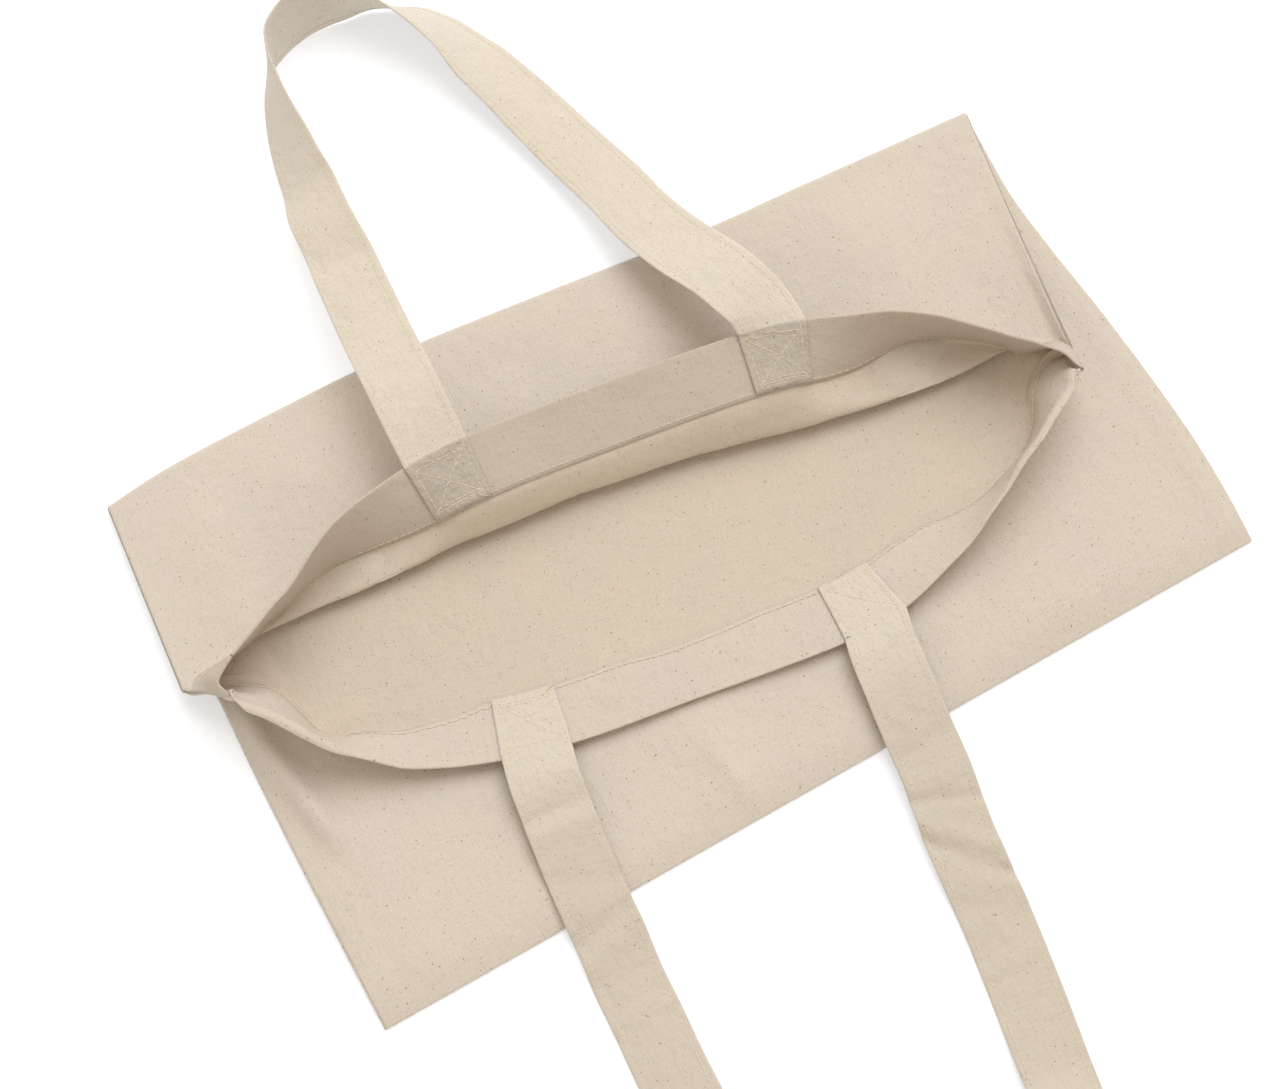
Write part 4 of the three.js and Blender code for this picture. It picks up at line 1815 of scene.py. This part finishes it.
@dataclass(frozen=True)
class Value:
    """A number or colour that a shader works out, with the sums that can be done on it."""

    nodes: "NodeMaker"
    socket: bpy.types.NodeSocket

    def __add__(self, other: Number) -> "Value":
        """Sum of this and another number."""
        return self.nodes.sum_of("ADD", self, other)

    __radd__ = __add__

    def __sub__(self, other: Number) -> "Value":
        """This number less another."""
        return self.nodes.sum_of("SUBTRACT", self, other)

    def __rsub__(self, other: Number) -> "Value":
        """Another number less this one."""
        return self.nodes.sum_of("SUBTRACT", other, self)

    def __mul__(self, other: Number) -> "Value":
        """Product of this and another number."""
        return self.nodes.sum_of("MULTIPLY", self, other)

    __rmul__ = __mul__

    def __truediv__(self, other: Number) -> "Value":
        """This number over another."""
        return self.nodes.sum_of("DIVIDE", self, other)

    def step(self, ramp: Ramp) -> "Value":
        """Soft step.

        Args:
            ramp: Where it begins and is complete.

        Returns:
            The share of the step that is done.
        """
        made = self.nodes.make(
            "ShaderNodeMapRange",
            {"interpolation_type": "SMOOTHSTEP"},
            {"Value": self, "From Min": ramp.start, "From Max": ramp.end},
        )
        return Value(self.nodes, made.outputs["Result"])


@dataclass(frozen=True)
class Mottle:
    """Soft noise on the flat cloth: width and length of a wave, and finer noise over it."""

    across: float
    along: float
    detail: float = 2.0


@dataclass(frozen=True)
class Flecks:
    """Scattered spots: a cell's width and length, share of cells with a spot, its radius."""

    across: float
    along: float
    share: float
    size: float
    chosen_edge: float = 0.02
    least_size: float = 0.45
    outline: Ramp = Ramp(0.55, 1.1)


@dataclass
class NodeMaker:
    """Makes the nodes of one material."""

    material: bpy.types.Material

    def make(
        self, kind: str, settings: dict[str, object], inputs: dict[Union[str, int], object]
    ) -> bpy.types.Node:
        """Make one node: its settings first, then its inputs.

        Args:
            kind: The node's type.
            settings: The node's own settings.
            inputs: What goes into its sockets, a value or something worked out.

        Returns:
            The node.
        """
        node = self.material.node_tree.nodes.new(kind)
        for name, value in settings.items():
            setattr(node, name, value)
        for key, value in inputs.items():
            if isinstance(value, Value):
                self.material.node_tree.links.new(value.socket, node.inputs[key])
            else:
                node.inputs[key].default_value = value
        return node

    def sum_of(self, operation: str, first: Number, second: Number) -> Value:
        """Do one sum.

        Args:
            operation: Which sum.
            first: First number.
            second: Second number.

        Returns:
            The result.
        """
        made = self.make("ShaderNodeMath", {"operation": operation}, {0: first, 1: second})
        return Value(self, made.outputs[0])

    def flat(self, across: float, along: float) -> Value:
        """Place on the flat cloth, counted in cells.

        Args:
            across: Width of a cell in millimetres.
            along: Length of a cell in millimetres.

        Returns:
            The place.
        """
        uv = self.make("ShaderNodeUVMap", {"uv_map": "flat"}, {})
        scale = (1 / (across * MILLIMETRE), 1 / (along * MILLIMETRE), 1.0)
        inputs = {0: Value(self, uv.outputs[0]), 1: scale}
        made = self.make("ShaderNodeVectorMath", {"operation": "MULTIPLY"}, inputs)
        return Value(self, made.outputs[0])

    def along(self) -> Value:
        """Distance along the flat cloth, in millimetres.

        Returns:
            The distance.
        """
        made = self.make("ShaderNodeSeparateXYZ", {}, {0: self.flat(1.0, 1.0)})
        return Value(self, made.outputs["Y"])

    def mottle(self, look: Mottle) -> Value:
        """Soft noise from 0 to 1.

        Args:
            look: The noise's size and detail.

        Returns:
            The noise.
        """
        inputs = {"Vector": self.flat(look.across, look.along), "Scale": 1.0, "Detail": look.detail}
        made = self.make("ShaderNodeTexNoise", {"noise_dimensions": "2D"}, inputs)
        return Value(self, made.outputs[0])

    def flecks(self, look: Flecks) -> Value:
        """Small scattered spots.

        Args:
            look: The spots' cells, number and size.

        Returns:
            1 inside a spot and 0 elsewhere.
        """
        inputs = {"Vector": self.flat(look.across, look.along), "Scale": 1.0, "Randomness": 1.0}
        made = self.make("ShaderNodeTexVoronoi", {"voronoi_dimensions": "2D"}, inputs)
        draws = self.make("ShaderNodeSeparateColor", {}, {0: Value(self, made.outputs["Color"])})
        bare = 1 - look.share
        chosen = Value(self, draws.outputs[0]).step(Ramp(bare, bare + look.chosen_edge))
        radius = Value(self, draws.outputs[1]) * (1 - look.least_size) + look.least_size
        away_from = Value(self, made.outputs["Distance"]) / (radius * look.size)
        return (1 - away_from.step(look.outline)) * chosen

    def mix(self, share: Number, first: object, second: object) -> Value:
        """Mix two colours.

        Args:
            share: Share of the second.
            first: First colour.
            second: Second colour.

        Returns:
            The mixed colour.
        """
        # A Mix node's colour sockets stand behind those for numbers and vectors.
        made = self.make("ShaderNodeMix", {"data_type": "RGBA"}, {0: share, 6: first, 7: second})
        return Value(self, made.outputs[2])


@dataclass(frozen=True)
class Tones:
    """Tones of the calico: two that it wanders between, its palest threads, and the end tone painted on its
    doubled ends as painted shade (as painted light on the front strap), which its dark grain also leans to.
    """

    warm: Colour
    cool: Colour
    pale: Colour
    # End tone, painted shade on the doubled ends; the dark grain leans to it too.
    doubled: Colour = (0.56, 0.515, 0.45, 1.0)


@dataclass(frozen=True)
class DoubledEndShading:
    """The doubled cloth at a sheet's two ends and the painted shading on it: how far in, how strongly the
    end tone shows, how it ends.

    The first shading is for the end where the sheet's length begins. The end tone is painted shade on the
    back hem and the back strap's sewn ends, and painted light on the front strap. The fade is the length
    over which the painted end tone dies away.
    """

    width: float
    first_end_shading: float
    last_end_shading: float
    fade: float
    crumple: float
    inner_edge: float = 0.8


@dataclass(frozen=True)
class CottonFinish:
    """Unbleached calico: thick and thin threads, seed flecks, soft uneven colour, and painted shading on its
    doubled ends.
    """

    name: str
    tones: Tones
    ends: DoubledEndShading
    crumple: float
    thinness: float
    glow: Colour = (0.98, 0.67, 0.37, 1.0)
    roughness: float = 0.92
    refraction: float = 1.4
    gloss: float = 0.2
    bump: float = 0.95
    warp: Mottle = Mottle(0.55, 9.0)
    weft: Mottle = Mottle(9.0, 0.55)
    thread_step: Ramp = Ramp(0.3, 0.72)
    thread_share: float = 0.32
    thread_height: float = 0.22
    warp_slubs: Mottle = Mottle(0.9, 16.0, 1.0)
    weft_slubs: Mottle = Mottle(16.0, 0.9, 1.0)
    warp_slub_step: Ramp = Ramp(0.66, 0.78)
    weft_slub_step: Ramp = Ramp(0.68, 0.8)
    slub_share: float = 0.25
    slub_height: float = 0.08
    blotches: Mottle = Mottle(38.0, 46.0, 3.0)
    blotch_step: Ramp = Ramp(0.3, 0.7)
    grain: Mottle = Mottle(1.0, 1.1, 3.0)
    pale_grain: Ramp = Ramp(0.38, 0.64)
    pale_grain_share: float = 0.3
    dark_grain: Ramp = Ramp(0.26, 0.46)
    dark_grain_share: float = 0.12
    creases: Mottle = Mottle(6.5, 8.0)
    sewn_creases: Mottle = Mottle(2.4, 3.0)
    fleck: Colour = (0.24, 0.15, 0.075, 1.0)
    faint: tuple[Flecks, Flecks] = (Flecks(2.0, 2.3, 0.26, 0.15), Flecks(3.1, 2.7, 0.22, 0.13))
    faint_share: float = 0.36
    hairs: Flecks = Flecks(1.6, 7.5, 0.12, 0.16)
    hair_share: float = 0.2
    strong: tuple[Flecks, Flecks] = (Flecks(4.1, 4.6, 0.2, 0.085), Flecks(7.9, 6.9, 0.2, 0.06))
    strong_share: float = 0.8

    def build(self, length: float) -> bpy.types.Material:
        """Make the material.

        Args:
            length: Length of the flat sheet, from one doubled end to the other.

        Returns:
            The material.
        """
        material = bpy.data.materials.new(self.name)
        material.use_nodes = True
        material.node_tree.nodes.clear()
        n = NodeMaker(material)
        threads = (n.mottle(self.warp) + n.mottle(self.weft)) * 0.5
        slubs = n.mottle(self.warp_slubs).step(self.warp_slub_step)
        slubs = slubs + n.mottle(self.weft_slubs).step(self.weft_slub_step)
        at_first, at_last = self.doubled(n, length)
        colour = self.woven_colour(n, threads, slubs)
        # Painted shading: the doubled ends take the end tone, as painted shade on the back hem and sewn ends
        # and as painted light on the front strap.
        share = at_first * self.ends.first_end_shading + at_last * self.ends.last_end_shading
        colour = self.flecked(n, n.mix(share, colour, self.tones.doubled))
        height = threads * self.thread_height + slubs * self.slub_height
        height = height + n.mottle(self.creases) * self.crumple
        height = height + n.mottle(self.sewn_creases) * (at_first + at_last) * self.ends.crumple
        relief = {"Strength": self.bump, "Distance": MILLIMETRE, "Height": height}
        bump = n.make("ShaderNodeBump", {}, relief)
        shader = n.make(
            "ShaderNodeBsdfPrincipled",
            {},
            {
                "Base Color": colour,
                "Roughness": self.roughness,
                "IOR": self.refraction,
                "Specular IOR Level": self.gloss,
                "Normal": Value(n, bump.outputs[0]),
            },
        )
        lit = n.make("ShaderNodeBsdfTranslucent", {}, {"Color": self.glow})
        both = {0: self.thinness, 1: Value(n, shader.outputs[0]), 2: Value(n, lit.outputs[0])}
        cloth = n.make("ShaderNodeMixShader", {}, both)
        n.make("ShaderNodeOutputMaterial", {}, {"Surface": Value(n, cloth.outputs[0])})
        return material

    def doubled(self, n: NodeMaker, length: float) -> tuple[Value, Value]:
        """Find the doubled cloth at the two ends, where the painted end tone goes.

        Args:
            n: The material's nodes.
            length: Length of the flat sheet.

        Returns:
            1 on the doubled cloth of the first end, and the same for the last end.
        """
        along, reach, fade = n.along(), self.ends.width * 2, self.ends.fade
        first = 1 - along.step(Ramp(reach - self.ends.inner_edge, reach + fade))
        last = along.step(Ramp(length - reach - fade, length - reach + self.ends.inner_edge))
        return first, last

    def woven_colour(self, n: NodeMaker, threads: Value, slubs: Value) -> Value:
        """Colour of the woven cloth.

        Args:
            n: The material's nodes.
            threads: The thick and thin threads, from 0 to 1.
            slubs: The thickest threads.

        Returns:
            The colour.
        """
        tones, grain = self.tones, n.mottle(self.grain)
        colour = n.mix(n.mottle(self.blotches).step(self.blotch_step), tones.warm, tones.cool)
        colour = n.mix(threads.step(self.thread_step) * self.thread_share, colour, tones.pale)
        colour = n.mix(slubs * self.slub_share, colour, tones.pale)
        colour = n.mix(grain.step(self.pale_grain) * self.pale_grain_share, colour, tones.pale)
        dark = (1 - grain.step(self.dark_grain)) * self.dark_grain_share
        return n.mix(dark, colour, tones.doubled)

    def flecked(self, n: NodeMaker, colour: Value) -> Value:
        """Scatter seed flecks over a colour.

        Args:
            n: The material's nodes.
            colour: The colour.

        Returns:
            The colour with its flecks.
        """
        faint = n.flecks(self.faint[0]) + n.flecks(self.faint[1])
        strong = n.flecks(self.strong[0]) + n.flecks(self.strong[1])
        hairs = n.flecks(self.hairs)
        groups = ((faint, self.faint_share), (hairs, self.hair_share), (strong, self.strong_share))
        for spots, share in groups:
            colour = n.mix(spots * share, colour, self.fleck)
        return colour


OUTSIDE = Tones(
    warm=(0.775, 0.742, 0.672, 1.0),
    cool=(0.755, 0.728, 0.672, 1.0),
    pale=(0.87, 0.848, 0.805, 1.0),
)
# Face inside the bag: the same calico painted darker and warmer, as painted shade of the bag's hollow.
INSIDE_PAINTED_SHADE = Tones(
    warm=(0.735, 0.69, 0.60, 1.0),
    cool=(0.715, 0.675, 0.595, 1.0),
    pale=(0.83, 0.80, 0.74, 1.0),
)
BACK_STRAP_TONES = Tones(
    warm=(0.69, 0.65, 0.58, 1.0),
    cool=(0.665, 0.63, 0.57, 1.0),
    pale=(0.77, 0.735, 0.675, 1.0),
    # Dark end tone: painted shade on the sewn ends, which lie on the shaded back hem.
    doubled=(0.45, 0.415, 0.365, 1.0),
)
# Front strap: the same calico as the back strap, painted darker as painted shade.
FRONT_STRAP_SHADED_TONES = Tones(
    warm=(0.60, 0.555, 0.49, 1.0),
    cool=(0.575, 0.54, 0.48, 1.0),
    pale=(0.665, 0.63, 0.575, 1.0),
    # Pale end tone: painted light near the hems.
    doubled=(0.70, 0.665, 0.605, 1.0),
)

# Hems: the back hem takes much of the darker end tone as painted shade, the front hem only a little.
HEMS_PAINTED_SHADE = DoubledEndShading(HEM, first_end_shading=0.1, last_end_shading=0.55, fade=0.8, crumple=0.25)
# The back strap's sewn ends take the dark end tone, as painted shade.
BACK_ENDS_PAINTED_SHADE = DoubledEndShading(13.5, first_end_shading=0.75, last_end_shading=0.75, fade=0.8, crumple=0.8)
# The front strap is painted paler at its sewn ends, fading over 48 mm down the strap, as painted light.
FRONT_ENDS_PAINTED_LIGHT = DoubledEndShading(13.5, first_end_shading=0.75, last_end_shading=0.75, fade=48, crumple=0.55)

CALICO = CottonFinish("calico", OUTSIDE, HEMS_PAINTED_SHADE, crumple=0.5, thinness=0.22)
CALICO_INSIDE_SHADED = CottonFinish("calico_inside_painted_shade", INSIDE_PAINTED_SHADE, HEMS_PAINTED_SHADE, crumple=0.5, thinness=0.22)
BACK_CALICO = CottonFinish("back_strap_calico", BACK_STRAP_TONES, BACK_ENDS_PAINTED_SHADE, crumple=0.8, thinness=0.0)
# The front strap's calico carries painted shade overall and painted light near its sewn ends.
FRONT_STRAP_CALICO_SHADED = CottonFinish("front_strap_calico_painted_shading", FRONT_STRAP_SHADED_TONES, FRONT_ENDS_PAINTED_LIGHT, crumple=0.8, thinness=0.0)


@dataclass(frozen=True)
class PlainFinish:
    """One even colour, of a surface that may glow a little."""

    name: str
    colour: Colour
    glow: float = 0.0
    roughness: float = 0.9
    gloss: float = 0.1

    def build(self) -> bpy.types.Material:
        """Make the material.

        Returns:
            The material.
        """
        material = bpy.data.materials.new(self.name)
        material.use_nodes = True
        material.node_tree.nodes.clear()
        n = NodeMaker(material)
        shader = n.make(
            "ShaderNodeBsdfPrincipled",
            {},
            {
                "Base Color": self.colour,
                "Roughness": self.roughness,
                "Specular IOR Level": self.gloss,
                "Emission Color": self.colour,
                "Emission Strength": self.glow,
            },
        )
        n.make("ShaderNodeOutputMaterial", {}, {"Surface": Value(n, shader.outputs[0])})
        return material


THREAD = PlainFinish("thread", (0.80, 0.72, 0.58, 1.0))


@dataclass(frozen=True)
class LooseEnd:
    """A loose end of thread on a handle's sewn end: which one, and the places it passes.

    A place is the distance from the strap's end and the distance across from its middle.
    """

    half: Half
    at_start: bool
    places: tuple[tuple[float, float], ...]


LOOSE_ENDS = (
    LooseEnd(Half.BACK, True, ((22, 1), (24.5, 3), (25, 6), (22.5, 7), (21, 5), (22, 3.5))),
    LooseEnd(Half.BACK, True, ((24, 8), (26.5, 10), (25.5, 12.5), (23, 12))),
    LooseEnd(Half.BACK, True, ((23.5, -9), (25, -6), (24, -3))),
    LooseEnd(Half.BACK, True, ((3, 9), (1.2, 11.5), (0.2, 14))),
    LooseEnd(Half.BACK, False, ((23.5, -2), (24.6, 0.5), (24, 3), (25.5, 4.5))),
    LooseEnd(Half.BACK, False, ((23, 8), (24.5, 10), (23.6, 12))),
    LooseEnd(Half.FRONT, True, ((2.5, 11), (1.2, 13), (0.4, 15.5))),
)


@dataclass(frozen=True)
class SeamLine:
    """A straight row of stitches on a handle, from one place to another.

    A place is the distance across from the strap's middle and the distance from its end.
    """

    start: tuple[float, float]
    end: tuple[float, float]

    @property
    def length(self) -> float:
        """Length of the row."""
        return math.dist(self.start, self.end)

    def at(self, d: float) -> tuple[float, float]:
        """Place at a distance along the row.

        Args:
            d: The distance.

        Returns:
            The distance across from the strap's middle, and the distance from its end.
        """
        t = d / self.length
        (a0, d0), (a1, d1) = self.start, self.end
        return a0 + (a1 - a0) * t, d0 + (d1 - d0) * t


@dataclass
class Sewing:
    """All rows of stitches of the bag."""

    cloth: FoldedCloth
    hem_line: float = 25.8
    least_margin: float = 1.9
    seam_gap: float = 4.0
    cloth_face: float = 0.34
    hem_face: float = 0.98
    edge_inset: float = 3.0
    strap_gap: float = 1.5
    outer_gap: float = 2.0
    box_near: float = 3.2
    box_far: float = 3.4
    double_row: float = 1.3
    box_gap: float = 3.0
    loose_low: float = 0.25
    loose_high: float = 0.75

    def on_hem(self, hem: HemFace, lift: float, sign: float, d: float) -> Spot:
        """Place of a stitch of the hem's seam.

        Args:
            hem: The hem.
            lift: Height over the cloth's middle surface.
            sign: 1 on the inner face and -1 on the outer one.
            d: Distance along the seam.

        Returns:
            The place, and the direction off the cloth.
        """
        u = self.seam_gap + d
        depth = min(self.hem_line, hem.edge(u) - self.least_margin)
        place, side = hem.at(u, depth, lift)
        return place, side * sign

    def hems(self) -> Threads:
        """Stitches along both hems, on both faces.

        Returns:
            The threads.
        """
        threads = Threads("hem_stitches")
        for half in Half:
            hem = HemFace(self.cloth, half)
            for lift, sign in ((self.hem_face, 1.0), (-self.cloth_face, -1.0)):
                threads.run(partial(self.on_hem, hem, lift, sign), BAG_WIDTH - 2 * self.seam_gap)
        return threads

    @staticmethod
    def on_strap(handle: Handle, line: SeamLine, at_start: bool, top: float, d: float) -> Spot:
        """Place of a stitch on one face of a strap.

        Args:
            handle: The handle.
            line: The row.
            at_start: True where the row is counted from the strap's first end.
            top: 1 for one face, -1 for the other.
            d: Distance along the row.

        Returns:
            The place, and the direction off the strap.
        """
        a, along = line.at(d)
        return handle.face_place(along if at_start else handle.length - along, a, top)

    def under_strap(self, handle: Handle, line: SeamLine, u: float, d: float) -> Spot:
        """Place of a stitch of a sewn end on the outer face of the bag.

        Args:
            handle: The handle.
            line: The row.
            u: Middle of the strap along the mouth.
            d: Distance along the row.

        Returns:
            The place, and the direction off the cloth.
        """
        a, along = line.at(d)
        place, side = HemFace(self.cloth, handle.half).at(u + a, handle.sewn - along, -self.cloth_face)
        return place, -side

    def strap(self, handle: Handle, name: str) -> Threads:
        """Stitches of one handle: both edges, both faces, and the two boxed crosses.

        Args:
            handle: The handle.
            name: The piece's name.

        Returns:
            The threads.
        """
        threads = Threads(name)
        total = handle.length
        inner = 1.0 if handle.half is Half.BACK else -1.0
        edge = STRAP_WIDTH / 2 - self.edge_inset
        free = handle.sewn + self.outer_gap
        for a in (-edge, edge):
            for gap, top in ((self.strap_gap, inner), (free, -inner)):
                line = SeamLine((a, gap), (a, total - gap))
                threads.run(partial(self.on_strap, handle, line, True, top), line.length)
        near, far = self.box_near, handle.sewn - self.box_far
        box = (
            SeamLine((-edge, near), (edge, near)),
            SeamLine((edge, near + self.double_row), (-edge, near + self.double_row)),
            SeamLine((-edge, far), (edge, far)),
            SeamLine((-edge, near), (edge, far)),
            SeamLine((-edge, far), (edge, near)),
        )
        for u, at_start in zip(handle.roots(), (True, False)):
            for line in box:
                threads.run(partial(self.on_strap, handle, line, at_start, inner), line.length)
                threads.run(partial(self.under_strap, handle, line, u), line.length)
            for a in (-edge, edge):
                line = SeamLine((a, self.box_gap), (a, handle.sewn - self.box_gap))
                threads.run(partial(self.under_strap, handle, line, u), line.length)
            for tail in LOOSE_ENDS:
                if (tail.half, tail.at_start) == (handle.half, at_start):
                    self.add_loose(threads, handle, tail, inner)
        return threads

    def add_loose(self, threads: Threads, handle: Handle, tail: LooseEnd, top: float) -> None:
        """Add a loose end of thread, which lifts off the strap at every second place.

        Args:
            threads: The threads it belongs to.
            handle: The handle it lies on.
            tail: The loose end.
            top: 1 for one face of the strap, -1 for the other.
        """
        held = []
        for along, a in tail.places:
            held.append(handle.face_place(along if tail.at_start else handle.length - along, a, top))
        heights = (self.loose_low, self.loose_high)
        threads.loose([place + up * heights[k % 2] for k, (place, up) in enumerate(held)], held[0][1])


@dataclass(frozen=True)
class Studio:
    """Plain pale floor, soft light and the camera."""

    azimuth: float = -29.6
    elevation: float = 72.64
    distance: float = 1.1176
    aim: tuple[float, float, float] = (-0.0166, 0.0128, 0.0)
    lens: float = 73.125
    sensor: float = 36.0
    nearest: float = 0.05
    ambient: float = 0.70
    ambient_colour: Colour = (1.0, 0.885, 0.73, 1.0)
    floor: PlainFinish = PlainFinish("floor_white", (0.86, 0.90, 0.97, 1.0), glow=0.32)
    floor_half: float = 60.0
    key_power: float = 442.0
    key_colour: tuple[float, float, float] = (1.0, 1.0, 1.0)
    key_size: float = 8.0
    key_place: tuple[float, float, float] = (3.2, 3.6, 6.8)

    def build(self) -> None:
        """Make the floor, the lights and the camera."""
        scene = bpy.context.scene
        scene.view_settings.view_transform = "Standard"
        world = bpy.data.worlds.new("studio")
        world.use_nodes = True
        background = world.node_tree.nodes["Background"]
        background.inputs["Color"].default_value = self.ambient_colour
        background.inputs["Strength"].default_value = self.ambient
        scene.world = world
        bm = bmesh.new()
        bmesh.ops.create_grid(bm, x_segments=1, y_segments=1, size=self.floor_half)
        floor = make_object("floor", bm, self.floor.build())
        lamp = bpy.data.lights.new("key", "AREA")
        lamp.energy = self.key_power
        lamp.color = self.key_colour
        lamp.shape = "DISK"
        lamp.size = self.key_size
        self.aimed("key", lamp, Vector(self.key_place), Vector(self.key_place))
        self.camera(scene)

    def camera(self, scene: bpy.types.Scene) -> None:
        """Make the camera at the photo's angle.

        Args:
            scene: The scene.
        """
        a, e = math.radians(self.azimuth), math.radians(self.elevation)
        back = Vector((math.sin(a) * math.cos(e), -math.cos(a) * math.cos(e), math.sin(e)))
        data = bpy.data.cameras.new("photo")
        data.sensor_width = self.sensor
        data.lens = self.lens
        data.clip_start = self.nearest
        scene.camera = self.aimed("photo", data, Vector(self.aim) + back * self.distance, back)

    @staticmethod
    def aimed(name: str, data: bpy.types.ID, place: Vector, back: Vector) -> bpy.types.Object:
        """Put a lamp or camera in the scene.

        Args:
            name: Its name.
            data: The lamp or camera.
            place: Where it stands.
            back: The direction opposite to its view.

        Returns:
            The object.
        """
        made = bpy.data.objects.new(name, data)
        made.location = place
        made.rotation_mode = "QUATERNION"
        made.rotation_quaternion = (-back).to_track_quat("-Z", "Y")
        bpy.context.scene.collection.objects.link(made)
        return made


@dataclass(frozen=True)
class StrapPlan:
    """One handle: its names, its half of the bag, its route, its creases and its finish."""

    name: str
    node: str
    half: Half
    path: Sequence[PathPoint]
    waves: Sequence[StrapWave]
    seed: float
    finish: CottonFinish


STRAPS = (
    StrapPlan("back_strap", "back_handle", Half.BACK, BACK_PATH, BACK_WAVES, 2.3, BACK_CALICO),
    StrapPlan("front_strap", "front_handle", Half.FRONT, FRONT_PATH, FRONT_WAVES, 6.1, FRONT_STRAP_CALICO_SHADED),
)


@dataclass
class CottonBag:
    """The whole bag: cloth, two handles and their sewing."""

    cloth: FoldedCloth = field(default_factory=FoldedCloth)

    def build(self) -> None:
        """Make every piece, hide the solid it stands in for, and hang it on the root."""
        self.cloth.build()
        thread = THREAD.build()
        self.build_body(thread)
        for plan in STRAPS:
            self.build_strap(plan, thread)

    def build_body(self, thread: bpy.types.Material) -> None:
        """Make the bag's cloth and the seams of its hems.

        Args:
            thread: Finish of the threads.
        """
        whole = 2 * (PANEL + HEM)
        # The inside face gets the calico with painted shade.
        body = BagBody(self.cloth).build(CALICO.build(whole), CALICO_INSIDE_SHADED.build(whole))
        hems = Sewing(self.cloth).hems().build(thread)
        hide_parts("bag_body")
        for piece in (body, hems):
            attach(piece, "root")
        LOG.info("%s is cut from %.0f by %.0f mm", body.name, BAG_WIDTH, whole)

    def build_strap(self, plan: StrapPlan, thread: bpy.types.Material) -> None:
        """Make one handle and its seams.

        Args:
            plan: The handle's plan.
            thread: Finish of the threads.
        """
        handle = Handle(plan.name, self.cloth, plan.half, plan.path, plan.waves, plan.seed).lay()
        strap = handle.build(plan.finish.build(handle.length))
        sewn = Sewing(self.cloth).strap(handle, plan.name + "_stitches").build(thread)
        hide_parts(plan.node)
        for piece in (strap, sewn):
            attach(piece, "root")
        flat = (STRAP_WIDTH * MILLIMETRE, handle.length * MILLIMETRE)
        LOG.info("%s is %.0f mm long", plan.name, handle.length)


def main() -> None:
    """Build the scene."""
    logging.basicConfig(level=logging.INFO)
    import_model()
    CottonBag().build()
    Studio().build()


if __name__ == "__main__":
    main()
